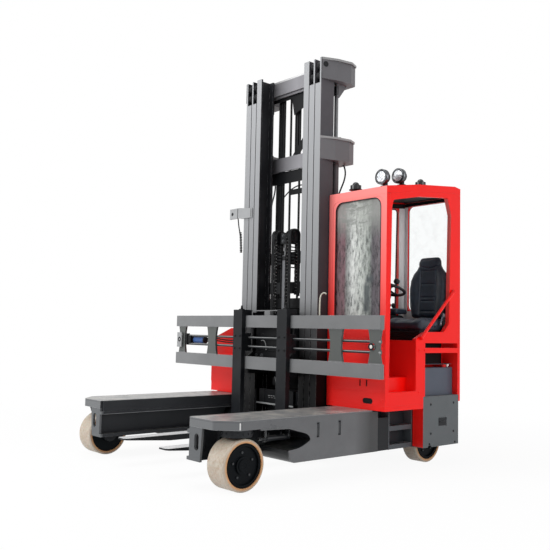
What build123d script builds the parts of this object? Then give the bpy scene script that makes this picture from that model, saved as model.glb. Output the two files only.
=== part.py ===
# Multidirectional forklift: two straddle arms with steered wheels, a reach mast of three stages between
# them, a wide fork carriage, and a cab and battery housing at the rear.
# Millimetres, +Z up, origin on the floor under the middle of the truck. The arms point along -Y.
# A setback is a distance behind the arm tips. What is mirrored is given for the left side, at positive X.
import os

from build123d import *

os.makedirs("parts", exist_ok=True)

# overall truck
length = 2476            # arm tips to the rear bumper
front_y = -length / 2
rear_y = length / 2
body_length = 1020       # rear body, behind the decks
deck_length = length - body_length
body_x = 1150            # half width of the cab, covers and battery housing
deck_x = 1042            # half width over the straddle arms
skin = 6                 # sheet metal
fit_gap = 0.3            # between faces that seat on each other
run_gap = 8              # between pieces that slide past each other
overcut = 1              # how far a cut runs past the face it starts from

# straddle arms
bay_x = 617              # half width between the roller channels' flanges
arm_inner_x = 643        # half width of the bay at deck level
web_x = 690              # inner face of the arm's web
arm_outer_x = 714
channel_base_z = 183
flange = 24
ledge_z = 368            # underside of the channel's upper flange
arm_top_z = 414
deck_top_z = 479
end_plate_top_x = 792    # the end plate narrows towards its foot
end_plate_foot_x = 772
end_plate_thickness = 18
tow_slot_x = 729
tow_slot_width = 50
tow_slot_height = 116
tow_slot_z = 315
tow_slot_depth = 80
deck_chamfer = 130
deck_corner_radius = 22

# side panels behind the front wheels
panel_base_z = 156
panel_end = deck_length - 32
panel_inner_x = 735
panel_nose = 574         # setback of the foot's nose
# arch over the wheel's sweep, columns: setback, height
panel_arch = [(312, 405), (571, 398), (759, 350), (795, 304), (682, 257), (panel_nose, 245)]
nose_radius = 60
lug_setbacks = (860, 1087)
lug_height = 90
lug_width = 32
lug_depth = 12
lug_margin = 8           # left above the lug's recess

# steering cylinders under the decks, behind the front wheels
steer_cylinder_x = 880
steer_cylinder_z = 318
steer_cylinder = (470, 700)      # setbacks of the barrel's ends
steer_radius = 21
steer_rod_radius = 11
steer_rod_reach = 45
steer_hanger = 16

# wheels; width is the tyre's
wheel_radius = 177.5
tread_radius = 150       # inner radius of the tyre
tread_chamfer = 9
front_wheel = {"setback": 190, "x": 927, "width": 190}
rear_wheel = {"setback": length - 264, "x": 940, "width": 140}
hub_hole = 30
hub_rim = 20             # radial thickness of the hub's rim
hub_boss = 60
hub_dish = 14
hub_inset = 8            # hub faces lie this far inside the tyre's
axle_radius = hub_hole - fit_gap
turntable_radius = 110
knuckle_base_z = 364
knuckle_arm = 30
knuckle_arm_gap = 9
knuckle_arm_half = 62

# rear body
well_end = length - 513  # setback of the wall behind the step ladder
cab_base_z = 476
cab_inner_x = 514
cab_front = deck_length + 24     # setback of the windscreen panel
rear_wall = 23
cab_rear = length - rear_wall    # setback of the rear panel's inner face
cab_wall = 40
pan_thickness = 40
cab_floor_z = 730
tread_z = 620
riser_x = 1050
seat_wall = deck_length + 410    # setback of the seat pedestal's front
pedestal_top_z = 1030
cover_top_z = 572
sill_inset_x = 960       # outer face of the left sill, behind the ladder
sill_lip = 20
well_half = 205          # rear wheel wells, along the truck
well_reach = 200         # and across it, inwards from the wheel
frame_wall = 60
frame_cavity_z = 330
ladder_end = well_end - 8
ladder_length = 299
ladder_treads = (157, 304)
ladder_plate = 10
ladder_inset = 5
tread_depth = 36

# covers over the rear wheels
cover_front = 40
cover_back = 20
cover_roof = 40
cover_handle = (2171, 2286)      # setbacks of the recessed grip
cover_handle_z = (318, 393)
cover_handle_depth = 4
cover_notch = (2030, 2075)
cover_notch_height = 14

# cavity with the equipment box, under the seat
cavity_x = 985
cavity = (seat_wall + 119, cab_rear - 13)    # setbacks
cavity_top_z = 1012
cavity_bar = (930, 972)
equipment_x = 1100
equipment_front = cavity[0] + 57
equipment_back_gap = 8
equipment_top_z = 806
equipment_radius = 10
cap_place = (1070, cavity[1] - 101)          # x, setback
cap_radius = 22
cap_height = 26

# cab openings
screen_x = (560, 1106)
screen_z = (1040, 2185)
screen_radius = 55
screen_inset = 14
pane = 6
# slots through the front panel, columns: x, height, long side, short side, turn in degrees
front_slots = [(888, 685, 54, 14, 90), (958, 687, 54, 14, 90), (970, 547, 105, 44, 0)]
# doorway, columns: setback, height
doorway = [
    (cab_front + 44, tread_z), (seat_wall - 2, tread_z), (seat_wall - 2, 1042), (seat_wall + 121, 1100),
    (cab_rear - 212, 1104), (cab_rear - 135, 1180), (cab_rear - 111, 2120), (cab_rear - 163, 2268),
    (cab_front + 412, 2226), (cab_front + 86, 2158), (cab_front + 65, 2100),
]
doorway_radius = 22
# window on the mast side, columns: setback, height
mast_window = [
    (cab_front + 80, 1120), (cab_rear - 93, 1297), (cab_rear - 73, 2250), (cab_front + 412, 2200),
    (cab_front + 95, 2140),
]
mast_window_radius = 45
rear_window_z = (1297, 2270)
rear_window_radius = 50
rear_post = 75

# roof line, columns: setback, height
roof_line = [(cab_front, 2258), (cab_front + 411, 2326), (cab_rear - 58, 2381), (length, 2370)]
roof_thickness = 60

# battery housing on the right
housing_front = deck_length + 49
housing_inner_x = 560
housing_corner_z = 994
housing_slope_x = 838
housing_inner_z = 1106
lid_thickness = 30
battery_clearance = 15
battery_headroom = 25

# pump housing behind the mast
pump_front = deck_length + 269
pump_chamfer = 25

# seat, columns of the backrest's outline: height, half width
seat_x = 880
seat_back = cab_rear - 11        # setback of the backrest's rear face
seat_depth = 430
seat_half = 215
seat_radius = 60
cushion_lap = 30         # of the cushion under the backrest
seat_base_half = 170
seat_base_inset = 25
cushion_z = (1114, 1210)
backrest_outline = [
    (cushion_z[1] + fit_gap, 170), (1330, 200), (1480, 215), (1590, 205), (1690, 132), (1770, 112),
]
backrest_top_z = 1796
backrest_top_half = 85
backrest_thickness = 97  # at its foot
backrest_lean = 5        # degrees that the face leans back

# cab fittings
column_x = seat_x - 30
column_foot = (cab_front + 140, cab_floor_z)         # setback, height
column_head = (cab_front + 360, 1440)
column_radii = (45, 30)
column_root = 20         # below the floor, where the cone starts before it is cut level
wheel_rim_radius = 150
wheel_grip_radius = 14
wheel_hub_radius = 38
wheel_hub_height = 40
wheel_spoke = (150, 28, 12)
console_width = 95
console = (seat_wall + 94, cab_rear - 123)           # setbacks
console_top_z = 1250
console_radius = 25
lever_radius = 9
lever_height = 110
lever_pitch = 60
lever_count = 4
bar_radius = 14
guard_bar = [(seat_wall + 39, 1046), (cab_rear - 87, 1463)]      # setback, height of its ends
lamp_radius = 63
lamp_depth = 70
lamp_rear_radius = 40
lamp_foot = 10
lamp_bracket = (28, 30, 30)
work_lamps = [(1042, cab_front + 50), (1086, cab_front + 207)]       # x, setback
dome_radius = 46
dome_height = 40
dome_cap_radius = 30
roof_domes = [(765, cab_front + 55), (1000, cab_front + 622)]        # x, setback

# mast
mast_front = deck_length - 94
mast_depth = 160
mast_rear = mast_front + mast_depth
mast_top_z = 3450
mast_base_z = 225
cutaway = 220            # length of front flange cut away at the top of the outer stages
rail_web = 16
rail_flange = 18
# rails, columns: stage, inner face, outer face, bottom above the mast base, cut away at the top
stages = [("outer", 434, 505, 0, True), ("mid", 362, 426, 20, True), ("inner", 290, 354, 40, False)]
roller_heights = (345, 900)
roller_width = 54
roller_radius = mast_depth / 2 - rail_flange - fit_gap
cross_thickness = 16
# crossmembers, columns: stage, bottom height, depth of the section
crossmembers = [
    ("inner", mast_top_z - 140, 136), ("inner", 1427, 105), ("inner", 290, 110),
    ("mid", mast_top_z - 160, 140), ("mid", 1700, 110), ("mid", 430, 110),
    ("outer", 2585, 130), ("outer", 1300, 87), ("outer", 430, 130),
]

# brackets for the lift cylinders, round the outer rails; plan, columns: x past the cheek, setback
bracket_plan = [(0, mast_front), (46, mast_front + 138), (74, mast_front + 288), (38, mast_front + 378)]
bracket_inner_x = 380
bracket_overhang = 14
bracket_cap = 20
upper_bracket_depth = 168
upper_bracket_z = (mast_top_z - bracket_cap - upper_bracket_depth, mast_top_z - bracket_cap)
lower_bracket_z = (2562, 2742)

# reach carriage at the foot of the outer stage
carrier_thickness = 12
carrier_x = (540, 590)
carrier = (mast_front - 22, mast_front + 358)        # setbacks
carrier_top_z = 400
carrier_roller_x = 681
carrier_rollers = (mast_front + 38, mast_front + 318)

# lift cylinders behind the outer rails
lift_x = 440
lift_setback = mast_front + 258
lift_radius = 30
lift_bore = 24
rod_radius = 18
gland_height = 40
lift_base = 40
lift_top_z = lower_bracket_z[1] + bracket_cap + 20
rod_base_z = 290

# free lift cylinder, crosshead and chain wheels
free_radius = 38
free_bore = 28
free_rod = 22
free_top_z = 1765
free_setback = mast_front + 100
free_foot = (120, 100, 30)
free_foot_z = 290
free_rod_room = 130      # below the rod when the free lift is down
crosshead_half = 34
crosshead_z = (60, 40)   # below and above the wheels' centre
sprocket_x = 73
sprocket_z = 1930
sprocket_setback = mast_front + 88
sprocket_radius = 62
sprocket_width = 36
sprocket_rim = 5
sprocket_pin = 20
chain_thickness = 12
chain_width = 24
chain_anchor_z = 790
chain_rear_end_z = 1400

# inner carriage
plate_outer_x = 282
plate_inner_x = 262
carriage_base_z = 700
carriage_top_z = 1250
carriage_plate = (mast_front - 50, mast_front + 138)         # setbacks of the side plates
carriage_ear = mast_front - 102
carriage_ear_z = (860, 900)
carriage_cross = (mast_front - 42, mast_front - 17)
carriage_bars = ((chain_anchor_z - 40, chain_anchor_z + 110), (1120, 1230))
carriage_roller_inset = 70
carriage_roller_width = 50
anchor_half = 20
anchor_depth = 55
anchor_height = 34
pivot_setback = mast_front - 72
pivot_z = 800
pivot_radius = 20
ear_radius = 40
ear_thickness = 20
ear_gap = 3

# fork positioner frame; plates, columns: x of the two sides
bar_half = 1337
bar_front = mast_front - 166
bar_depth = 47
upper_bar = (1112, 1218)
lower_bar = (745, 854)
bar_plates = [
    (-bar_half + 30, -bar_half + 148), (-833, -681), (793, 947), (bar_half - 128, bar_half),
]
plate_waist = 18
plate_inset = 12
plate_thickness = 20
plate_hole = 26
plate_hole_x = bar_half - 87
spindle_z = (1021, 941)
spindle_radius = 11
spindle_setback = bar_front + plate_inset + plate_thickness + spindle_radius + fit_gap
spindle_end = 40
pin_reach = 10
motor_radius = 32
motor_end_x = -954
motor_flange = 12

# forks
fork_x = 297
fork_width = 122
fork_thickness = 45
fork_tip = 6
fork_base_z = 172
tip_thickness = 12
tip_taper = 420
tip_chamfer = 20
heel_fillet = 20
heel_radius = 31
shank_top_z = 1270
claw_gap = 8
claw_thickness = 14
claw_lap = 25
claw_top = 46
nut_depth = 66
nut_height = 160
nut_clearance = 1


def y_at(setback):
    """The frame's Y at a distance behind the arm tips."""
    return front_y + setback


def roof_height(setback):
    for (start, low), (end, high) in zip(roof_line, roof_line[1:]):
        if setback <= end or end == length:
            return low + (high - low) * (setback - start) / (end - start)


def under_roof(front, rear, low):
    """Side outline between two setbacks, from a height up to the roof's underside."""
    inner = [setback for setback, _ in roof_line if front < setback < rear]
    top = [(y_at(a), roof_height(a) - roof_thickness - fit_gap) for a in (front, *inner, rear)]
    return [(y_at(front), low), *top, (y_at(rear), low)]


def write(piece, name):
    piece.part.label = name
    export_step(piece.part, f"parts/{name}.step")


def box(x, y, z, mode=Mode.ADD):
    """A block between two values on each axis, in the part that is being built."""
    with Locations(((x[0] + x[1]) / 2, (y[0] + y[1]) / 2, (z[0] + z[1]) / 2)):
        Box(abs(x[1] - x[0]), abs(y[1] - y[0]), abs(z[1] - z[0]), mode=mode)


def span(setbacks):
    return tuple(y_at(setback) for setback in setbacks)


def disc(plane, places, radius, amount, hole=None, mode=Mode.ADD):
    """Round plates or pins of one size on a plane, in the part that is being built."""
    with BuildSketch(plane) as outline:
        with Locations(*places):
            Circle(radius)
            if hole:
                Circle(hole, mode=Mode.SUBTRACT)
    extrude(outline.sketch, amount=amount, mode=mode)


sides = (("left", 1), ("right", -1))

# straddle arms: an inward channel for the reach rollers, and a slotted end plate
for side, s in sides:
    with BuildPart() as arm:
        with BuildSketch(Plane.XZ.offset(-front_y)):
            with BuildLine():
                Polyline(
                    (s * bay_x, channel_base_z), (s * arm_outer_x, channel_base_z),
                    (s * arm_outer_x, arm_top_z), (s * arm_inner_x, arm_top_z),
                    (s * arm_inner_x, ledge_z + flange), (s * bay_x, ledge_z + flange),
                    (s * bay_x, ledge_z), (s * web_x, ledge_z),
                    (s * web_x, channel_base_z + flange), (s * bay_x, channel_base_z + flange),
                    close=True,
                )
            make_face()
        extrude(amount=-well_end - skin)
        with BuildSketch(Plane.XZ.offset(-front_y)):
            with BuildLine():
                Polyline(
                    (s * arm_inner_x, channel_base_z), (s * end_plate_foot_x, channel_base_z),
                    (s * end_plate_top_x, arm_top_z), (s * arm_inner_x, arm_top_z), close=True,
                )
            make_face()
        extrude(amount=-end_plate_thickness)
        with BuildSketch(Plane.XZ.offset(-front_y)):
            with Locations((s * tow_slot_x, tow_slot_z)):
                SlotOverall(tow_slot_height, tow_slot_width, rotation=90)
        extrude(amount=-tow_slot_depth, mode=Mode.SUBTRACT)
    write(arm, f"arm_{side}")

# decks over the arms, each with the steering cylinder of its front wheel hung below
deck_base_z = arm_top_z + fit_gap
with BuildPart() as decks:
    for side, s in sides:
        with BuildSketch(Plane.XY.offset(deck_base_z)):
            with BuildLine():
                Polyline(
                    (s * arm_inner_x, front_y), (s * (deck_x - deck_chamfer), front_y),
                    (s * deck_x, front_y + deck_chamfer), (s * deck_x, y_at(deck_length)),
                    (s * arm_inner_x, y_at(deck_length)), close=True,
                )
            make_face()
        extrude(amount=deck_top_z - deck_base_z)
        for hanger in steer_cylinder:
            box(
                (s * (steer_cylinder_x - steer_radius), s * (steer_cylinder_x + steer_radius)),
                (y_at(hanger), y_at(hanger) + steer_hanger), (steer_cylinder_z, deck_base_z + overcut),
            )
        centre = (s * steer_cylinder_x, steer_cylinder_z)
        disc(Plane.XZ.offset(-y_at(steer_cylinder[0])), [centre], steer_radius,
             -(steer_cylinder[1] + steer_hanger - steer_cylinder[0]))
        disc(Plane.XZ.offset(-y_at(steer_cylinder[0]) - overcut), [centre], steer_rod_radius, steer_rod_reach)
    plan_corners = decks.edges().filter_by(Axis.Z).filter_by_position(
        Axis.Y, front_y - overcut, front_y + deck_chamfer + overcut,
    )
    fillet([edge for edge in plan_corners if abs(edge.center().X) > arm_inner_x + overcut], deck_corner_radius)
write(decks, "decks")

# side panels: the sill of the arm behind the front wheel, arched over the wheel's sweep
with BuildPart() as panels:
    for side, s in sides:
        with BuildSketch(Plane.YZ.offset(s * panel_inner_x)):
            with BuildLine():
                arch = [(y_at(setback), height) for setback, height in panel_arch]
                Polyline(
                    *arch, (y_at(panel_nose), panel_base_z), (y_at(panel_end), panel_base_z),
                    (y_at(panel_end), arm_top_z - fit_gap), (y_at(panel_arch[0][0]), arm_top_z - fit_gap),
                    close=True,
                )
            make_face()
        extrude(amount=s * (deck_x - panel_inner_x))
        for setback in lug_setbacks:
            box(
                (s * (deck_x - lug_depth), s * (deck_x + overcut)),
                span((setback - lug_width / 2, setback + lug_width / 2)),
                (arm_top_z - lug_height, arm_top_z - lug_margin), Mode.SUBTRACT,
            )
        # room for the steering cylinder and its hangers
        box(
            (s * (steer_cylinder_x - steer_radius - run_gap), s * (steer_cylinder_x + steer_radius + run_gap)),
            span((panel_arch[0][0] - overcut, steer_cylinder[1] + steer_hanger + run_gap)),
            (steer_cylinder_z - steer_radius - run_gap, arm_top_z), Mode.SUBTRACT,
        )
    noses = panels.edges().filter_by(Axis.X).group_by(Axis.Z)[0].group_by(Axis.Y)[0]
    fillet(noses, nose_radius)
write(panels, "side_panels")

# rear frame: cross box behind the mast, with open wells for the rear wheels
frame_front = well_end + skin + fit_gap
with BuildPart() as rear_frame:
    box((-deck_x, deck_x), span((frame_front, cab_rear)), (panel_base_z, cab_base_z - fit_gap))
    for side, s in sides:
        box(
            (s * (rear_wheel["x"] - well_reach), s * (deck_x + overcut)),
            span((rear_wheel["setback"] - well_half, rear_wheel["setback"] + well_half)),
            (panel_base_z - overcut, arm_top_z), Mode.SUBTRACT,
        )
    box(
        (-bay_x, bay_x), span((frame_front + frame_wall, cab_rear - frame_wall)),
        (panel_base_z - overcut, frame_cavity_z), Mode.SUBTRACT,
    )
write(rear_frame, "rear_frame")

# sills between the side panels and the rear frame, set in on the left behind the step ladder
with BuildPart() as sills:
    for side, s in sides:
        outer = sill_inset_x if s > 0 else deck_x
        box(
            (s * (arm_outer_x + fit_gap), s * outer), span((panel_end + fit_gap, frame_front - fit_gap)),
            (channel_base_z, arm_top_z - fit_gap),
        )
        box(
            (s * (arm_outer_x + fit_gap), s * outer), span((deck_length + fit_gap, frame_front - fit_gap)),
            (arm_top_z - sill_lip, cab_base_z - fit_gap),
        )
        box(
            (s * arm_inner_x, s * outer), span((deck_length + fit_gap, frame_front - fit_gap)),
            (arm_top_z + fit_gap, cab_base_z - fit_gap),
        )
write(sills, "sills")

# step ladder under the doorway: two treads between side plates
ladder_start = ladder_end - ladder_length
with BuildPart() as ladder:
    for plate in (ladder_start, ladder_end - ladder_plate):
        box(
            (sill_inset_x + fit_gap, deck_x), span((plate, plate + ladder_plate)),
            (panel_base_z, cab_base_z - fit_gap),
        )
    for tread in ladder_treads:
        box(
            (sill_inset_x + fit_gap, deck_x), span((ladder_start + ladder_inset, ladder_end - ladder_inset)),
            (tread, tread + tread_depth),
        )
write(ladder, "step_ladder")

# cab floor: a pan under the cab, the entry tread by the doorway and the raised floor behind the riser
pan_top_z = cab_base_z + pan_thickness
inside_x = (cab_inner_x + cab_wall + fit_gap, body_x - cab_wall - fit_gap)
inside_front = cab_front + cab_wall + fit_gap
with BuildPart() as floor:
    box((cab_inner_x, body_x), span((cab_front, well_end - fit_gap)), (cab_base_z, pan_top_z))
    box((cab_inner_x, deck_x), span((cab_front, cab_rear)), (cab_base_z, pan_top_z))
    box((inside_x[0], riser_x), span((inside_front, seat_wall)), (cab_base_z, cab_floor_z))
    box((riser_x, inside_x[1]), span((inside_front, seat_wall)), (cab_base_z, tread_z - skin))
write(floor, "cab_floor")

# seat pedestal: the housing under the seat, open to the left over the equipment box
with BuildPart() as pedestal:
    pedestal_span = span((seat_wall + fit_gap, cab_rear - fit_gap))
    box(inside_x, pedestal_span, (cover_top_z + fit_gap, pedestal_top_z))
    box((inside_x[0], deck_x), pedestal_span, (pan_top_z + fit_gap, cover_top_z + overcut))
    box((cavity_x, body_x), span(cavity), (cover_top_z, cavity_top_z), Mode.SUBTRACT)
write(pedestal, "seat_pedestal")

# grey equipment box in the cavity, with a filler cap
with BuildPart() as equipment:
    box(
        (cavity_x + fit_gap, equipment_x), span((equipment_front, cavity[1] - equipment_back_gap)),
        (cover_top_z + fit_gap, equipment_top_z),
    )
    fillet(equipment.edges().filter_by(Axis.Y).group_by(Axis.Z)[-1].sort_by(Axis.X)[-1], equipment_radius)
    disc(Plane.XY.offset(equipment_top_z), [(cap_place[0], y_at(cap_place[1]))], cap_radius, cap_height)
write(equipment, "equipment_box")

# cab front: a panel with the windscreen opening and the slots below it
front_top_z = roof_height(cab_front) - roof_thickness - fit_gap
cab_centre_x = (cab_inner_x + body_x) / 2
screen_centre = ((screen_x[0] + screen_x[1]) / 2, (screen_z[0] + screen_z[1]) / 2)
screen_size = (screen_x[1] - screen_x[0], screen_z[1] - screen_z[0])
with BuildPart() as front:
    with BuildSketch(Plane.XZ.offset(-y_at(cab_front))):
        with Locations((cab_centre_x, (pan_top_z + fit_gap + front_top_z) / 2)):
            Rectangle(body_x - cab_inner_x, front_top_z - pan_top_z - fit_gap)
        with Locations(screen_centre):
            RectangleRounded(*screen_size, screen_radius, mode=Mode.SUBTRACT)
        for x, z, long, short, turn in front_slots:
            with Locations((x, z)):
                SlotOverall(long, short, rotation=turn, mode=Mode.SUBTRACT)
    extrude(amount=-cab_wall)
write(front, "cab_front")

# doorway side: the left panel with the doorway, the low panel beside the seat and the cavity's mouth
with BuildPart() as door_side:
    with BuildSketch(Plane.YZ.offset(body_x - cab_wall)):
        with BuildLine():
            Polyline(*under_roof(inside_front, cab_rear - fit_gap, pan_top_z + fit_gap), close=True)
        make_face()
        with BuildLine():
            FilletPolyline(*[(y_at(a), b) for a, b in doorway], radius=doorway_radius, close=True)
        make_face(mode=Mode.SUBTRACT)
        for low, high in ((cover_top_z - overcut, cavity_bar[0]), (cavity_bar[1], cavity_top_z)):
            with Locations((y_at(sum(cavity) / 2), (low + high) / 2)):
                Rectangle(cavity[1] - cavity[0], high - low, mode=Mode.SUBTRACT)
        with Locations((y_at((well_end + length) / 2), cover_top_z / 2)):
            Rectangle(length - well_end, cover_top_z + 2 * fit_gap, mode=Mode.SUBTRACT)
    extrude(amount=cab_wall)
write(door_side, "cab_door_side")

# mast side: the inner panel with its window
with BuildPart() as mast_side:
    with BuildSketch(Plane.YZ.offset(cab_inner_x)):
        with BuildLine():
            Polyline(*under_roof(inside_front, cab_rear - fit_gap, pan_top_z + fit_gap), close=True)
        make_face()
        with BuildLine():
            FilletPolyline(*[(y_at(a), b) for a, b in mast_window], radius=mast_window_radius, close=True)
        make_face(mode=Mode.SUBTRACT)
    extrude(amount=cab_wall)
write(mast_side, "cab_mast_side")

# cab rear: a panel with the rear window
rear_top_z = roof_height(length) - roof_thickness - fit_gap
with BuildPart() as rear:
    with BuildSketch(Plane.XZ.offset(-y_at(cab_rear))):
        with Locations((cab_centre_x, (pan_top_z + fit_gap + rear_top_z) / 2)):
            Rectangle(body_x - cab_inner_x, rear_top_z - pan_top_z - fit_gap)
        with Locations((cab_centre_x, sum(rear_window_z) / 2)):
            RectangleRounded(
                body_x - cab_inner_x - 2 * rear_post, rear_window_z[1] - rear_window_z[0], rear_window_radius,
                mode=Mode.SUBTRACT,
            )
    extrude(amount=-rear_wall)
write(rear, "cab_rear")

# roof: a slab that follows the roof line
with BuildPart() as roof:
    with BuildSketch(Plane.YZ.offset(cab_inner_x)):
        with BuildLine():
            Polyline(
                *[(y_at(a), b) for a, b in roof_line],
                *[(y_at(a), b - roof_thickness) for a, b in reversed(roof_line)], close=True,
            )
        make_face()
    extrude(amount=body_x - cab_inner_x)
write(roof, "cab_roof")

# windscreen
with BuildPart() as glass:
    with BuildSketch(Plane.XZ.offset(-y_at(cab_front + screen_inset))):
        with Locations(screen_centre):
            RectangleRounded(
                screen_size[0] - 2 * fit_gap, screen_size[1] - 2 * fit_gap, screen_radius - fit_gap,
            )
    extrude(amount=-pane)
write(glass, "windscreen")

# glass of the mast side and of the rear
rear_pane_y = y_at(cab_rear) + (rear_wall - pane) / 2
with BuildPart() as windows:
    with BuildSketch(Plane.YZ.offset(cab_inner_x + screen_inset)):
        with BuildLine():
            FilletPolyline(*[(y_at(a), b) for a, b in mast_window], radius=mast_window_radius, close=True)
        make_face()
        offset(amount=-fit_gap, mode=Mode.REPLACE)
    extrude(amount=pane)
    with BuildSketch(Plane.XZ.offset(-rear_pane_y)):
        with Locations((cab_centre_x, sum(rear_window_z) / 2)):
            RectangleRounded(
                body_x - cab_inner_x - 2 * (rear_post + fit_gap),
                rear_window_z[1] - rear_window_z[0] - 2 * fit_gap, rear_window_radius - fit_gap,
            )
    extrude(amount=-pane)
write(windows, "cab_windows")

# guard bar across the doorway, low at the front
bar_x = body_x + bar_radius + fit_gap
with BuildPart() as guard:
    with BuildLine() as bar_path:
        Line(*[(bar_x, y_at(setback), height) for setback, height in guard_bar])
    with BuildSketch(Plane(origin=bar_path.line @ 0, z_dir=bar_path.line % 0)):
        Circle(bar_radius)
    sweep()
write(guard, "guard_bar")

# grey covers over the rear wheels, open below and towards the wheel, with a recessed grip and a notch
with BuildPart() as covers:
    for side, s in sides:
        box((s * (deck_x + fit_gap), s * body_x), span((well_end, cab_rear)), (panel_base_z, cover_top_z))
        box(
            (s * deck_x, s * (body_x - skin)), span((well_end + cover_front, cab_rear - cover_back)),
            (panel_base_z - overcut, cover_top_z - cover_roof), Mode.SUBTRACT,
        )
        box(
            (s * (body_x - cover_handle_depth), s * (body_x + overcut)), span(cover_handle), cover_handle_z,
            Mode.SUBTRACT,
        )
        box(
            (s * (body_x - skin - overcut), s * (body_x + overcut)), span(cover_notch),
            (panel_base_z - overcut, panel_base_z + cover_notch_height), Mode.SUBTRACT,
        )
write(covers, "wheel_covers")

# battery housing on the right: an open box, its lid hinged at the inner edge, the battery as one block
housing_depth = length - housing_front
with BuildPart() as housing:
    with BuildSketch(Plane.XZ.offset(-y_at(housing_front))):
        with BuildLine():
            Polyline(
                (-deck_x, cab_base_z), (-deck_x, cover_top_z + fit_gap), (-body_x, cover_top_z + fit_gap),
                (-body_x, housing_corner_z - lid_thickness),
                (-housing_slope_x, housing_inner_z - lid_thickness),
                (-housing_inner_x, housing_inner_z - lid_thickness), (-housing_inner_x, cab_base_z), close=True,
            )
        make_face()
    extrude(amount=-housing_depth)
    box(
        (-body_x + cab_wall, -housing_inner_x - cab_wall), (y_at(housing_front + cab_wall), rear_y - cab_wall),
        (cover_top_z + cab_wall, housing_inner_z), Mode.SUBTRACT,
    )
write(housing, "battery_housing")

lid_base = lid_thickness - fit_gap
with BuildPart() as lid:
    with BuildSketch(Plane.XZ.offset(-y_at(housing_front))):
        with BuildLine():
            Polyline(
                (-body_x, housing_corner_z - lid_base), (-body_x, housing_corner_z),
                (-housing_slope_x, housing_inner_z), (-housing_inner_x, housing_inner_z),
                (-housing_inner_x, housing_inner_z - lid_base), (-housing_slope_x, housing_inner_z - lid_base),
                close=True,
            )
        make_face()
    extrude(amount=-housing_depth)
write(lid, "battery_lid")

with BuildPart() as battery:
    box(
        (-body_x + cab_wall + battery_clearance, -housing_inner_x - cab_wall - battery_clearance),
        (y_at(housing_front + cab_wall + battery_clearance), rear_y - cab_wall - battery_clearance),
        (cover_top_z + cab_wall + fit_gap, housing_corner_z - lid_thickness - battery_headroom),
    )
write(battery, "battery")

# pump housing behind the mast
with BuildPart() as pump:
    box(
        (-housing_inner_x + fit_gap, cab_inner_x - fit_gap), (y_at(pump_front), rear_y),
        (cab_base_z, housing_inner_z),
    )
    chamfer(pump.edges().filter_by(Axis.X).group_by(Axis.Z)[-1], pump_chamfer)
write(pump, "pump_housing")

# seat: base, cushion, and a backrest with wide shoulders below a narrow head
seat_front = seat_back - seat_depth
with BuildPart() as seat_base:
    box(
        (seat_x - seat_base_half, seat_x + seat_base_half),
        span((seat_front + seat_base_inset, seat_back - seat_base_inset)),
        (pedestal_top_z + fit_gap, cushion_z[0] - fit_gap),
    )
write(seat_base, "seat_base")

backrest_front = seat_back - backrest_thickness
with BuildPart() as cushion:
    box((seat_x - seat_half, seat_x + seat_half), span((seat_front, backrest_front + cushion_lap)), cushion_z)
    fillet(cushion.edges().filter_by(Axis.Z).group_by(Axis.Y)[0], seat_radius)
write(cushion, "seat_cushion")

with BuildPart() as backrest:
    with BuildSketch(Plane.XZ.offset(-y_at(backrest_front))):
        with BuildLine():
            right_side = [(seat_x + half, height) for height, half in backrest_outline]
            left_side = [(seat_x - half, height) for height, half in reversed(backrest_outline)]
            Polyline(
                *right_side, (seat_x + backrest_top_half, backrest_top_z),
                (seat_x - backrest_top_half, backrest_top_z), *left_side, close=True,
            )
        make_face()
    extrude(amount=-backrest_thickness)
    # the face leans back from its foot
    face_foot = (seat_x, y_at(backrest_front), backrest_outline[0][0])
    split(
        bisect_by=Plane(origin=face_foot, z_dir=Vector(0, 1, 0).rotate(Axis.X, -backrest_lean)), keep=Keep.TOP,
    )
write(backrest, "seat_backrest")

# steering column and wheel
head = Vector(column_x, y_at(column_head[0]), column_head[1])
column_axis = (head - Vector(column_x, y_at(column_foot[0]), column_foot[1])).normalized()
root = Vector(column_x, y_at(column_foot[0]), column_foot[1]) - column_axis * column_root
with BuildPart() as column:
    with Locations(Plane(origin=root, z_dir=column_axis)):
        Cone(*column_radii, (head - root).length, align=(Align.CENTER, Align.CENTER, Align.MIN))
    # the foot ends level with the floor
    split(bisect_by=Plane.XY.offset(column_foot[1] + fit_gap), keep=Keep.TOP)
write(column, "steering_column")

hub_plane = Plane(origin=head + column_axis * fit_gap, z_dir=column_axis)
with BuildPart() as wheel:
    with BuildSketch(hub_plane):
        Circle(wheel_hub_radius)
    extrude(amount=wheel_hub_height)
    with BuildSketch(hub_plane.offset((wheel_hub_height - wheel_spoke[2]) / 2)):
        with PolarLocations(wheel_spoke[0] / 2, 3):
            Rectangle(wheel_spoke[0], wheel_spoke[1])
    extrude(amount=wheel_spoke[2])
    rim_origin = hub_plane.origin + column_axis * (wheel_hub_height / 2)
    with BuildSketch(Plane(origin=rim_origin, x_dir=hub_plane.x_dir, z_dir=hub_plane.y_dir)):
        with Locations((wheel_rim_radius, 0)):
            RegularPolygon(wheel_grip_radius, 10)
    revolve(axis=Axis(origin=hub_plane.origin, direction=column_axis))
write(wheel, "steering_wheel")

# control console on the mast side of the seat
with BuildPart() as controls:
    box((inside_x[0], inside_x[0] + console_width), span(console), (pedestal_top_z + fit_gap, console_top_z))
    chamfer(controls.edges().filter_by(Axis.X).group_by(Axis.Z)[-1], console_radius)
    middle = sum(console) / 2
    levers = [
        (inside_x[0] + console_width / 2, y_at(middle + lever_pitch * (n - (lever_count - 1) / 2)))
        for n in range(lever_count)
    ]
    disc(Plane.XY.offset(console_top_z - overcut), levers, lever_radius, lever_height + overcut)
write(controls, "control_console")

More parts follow.
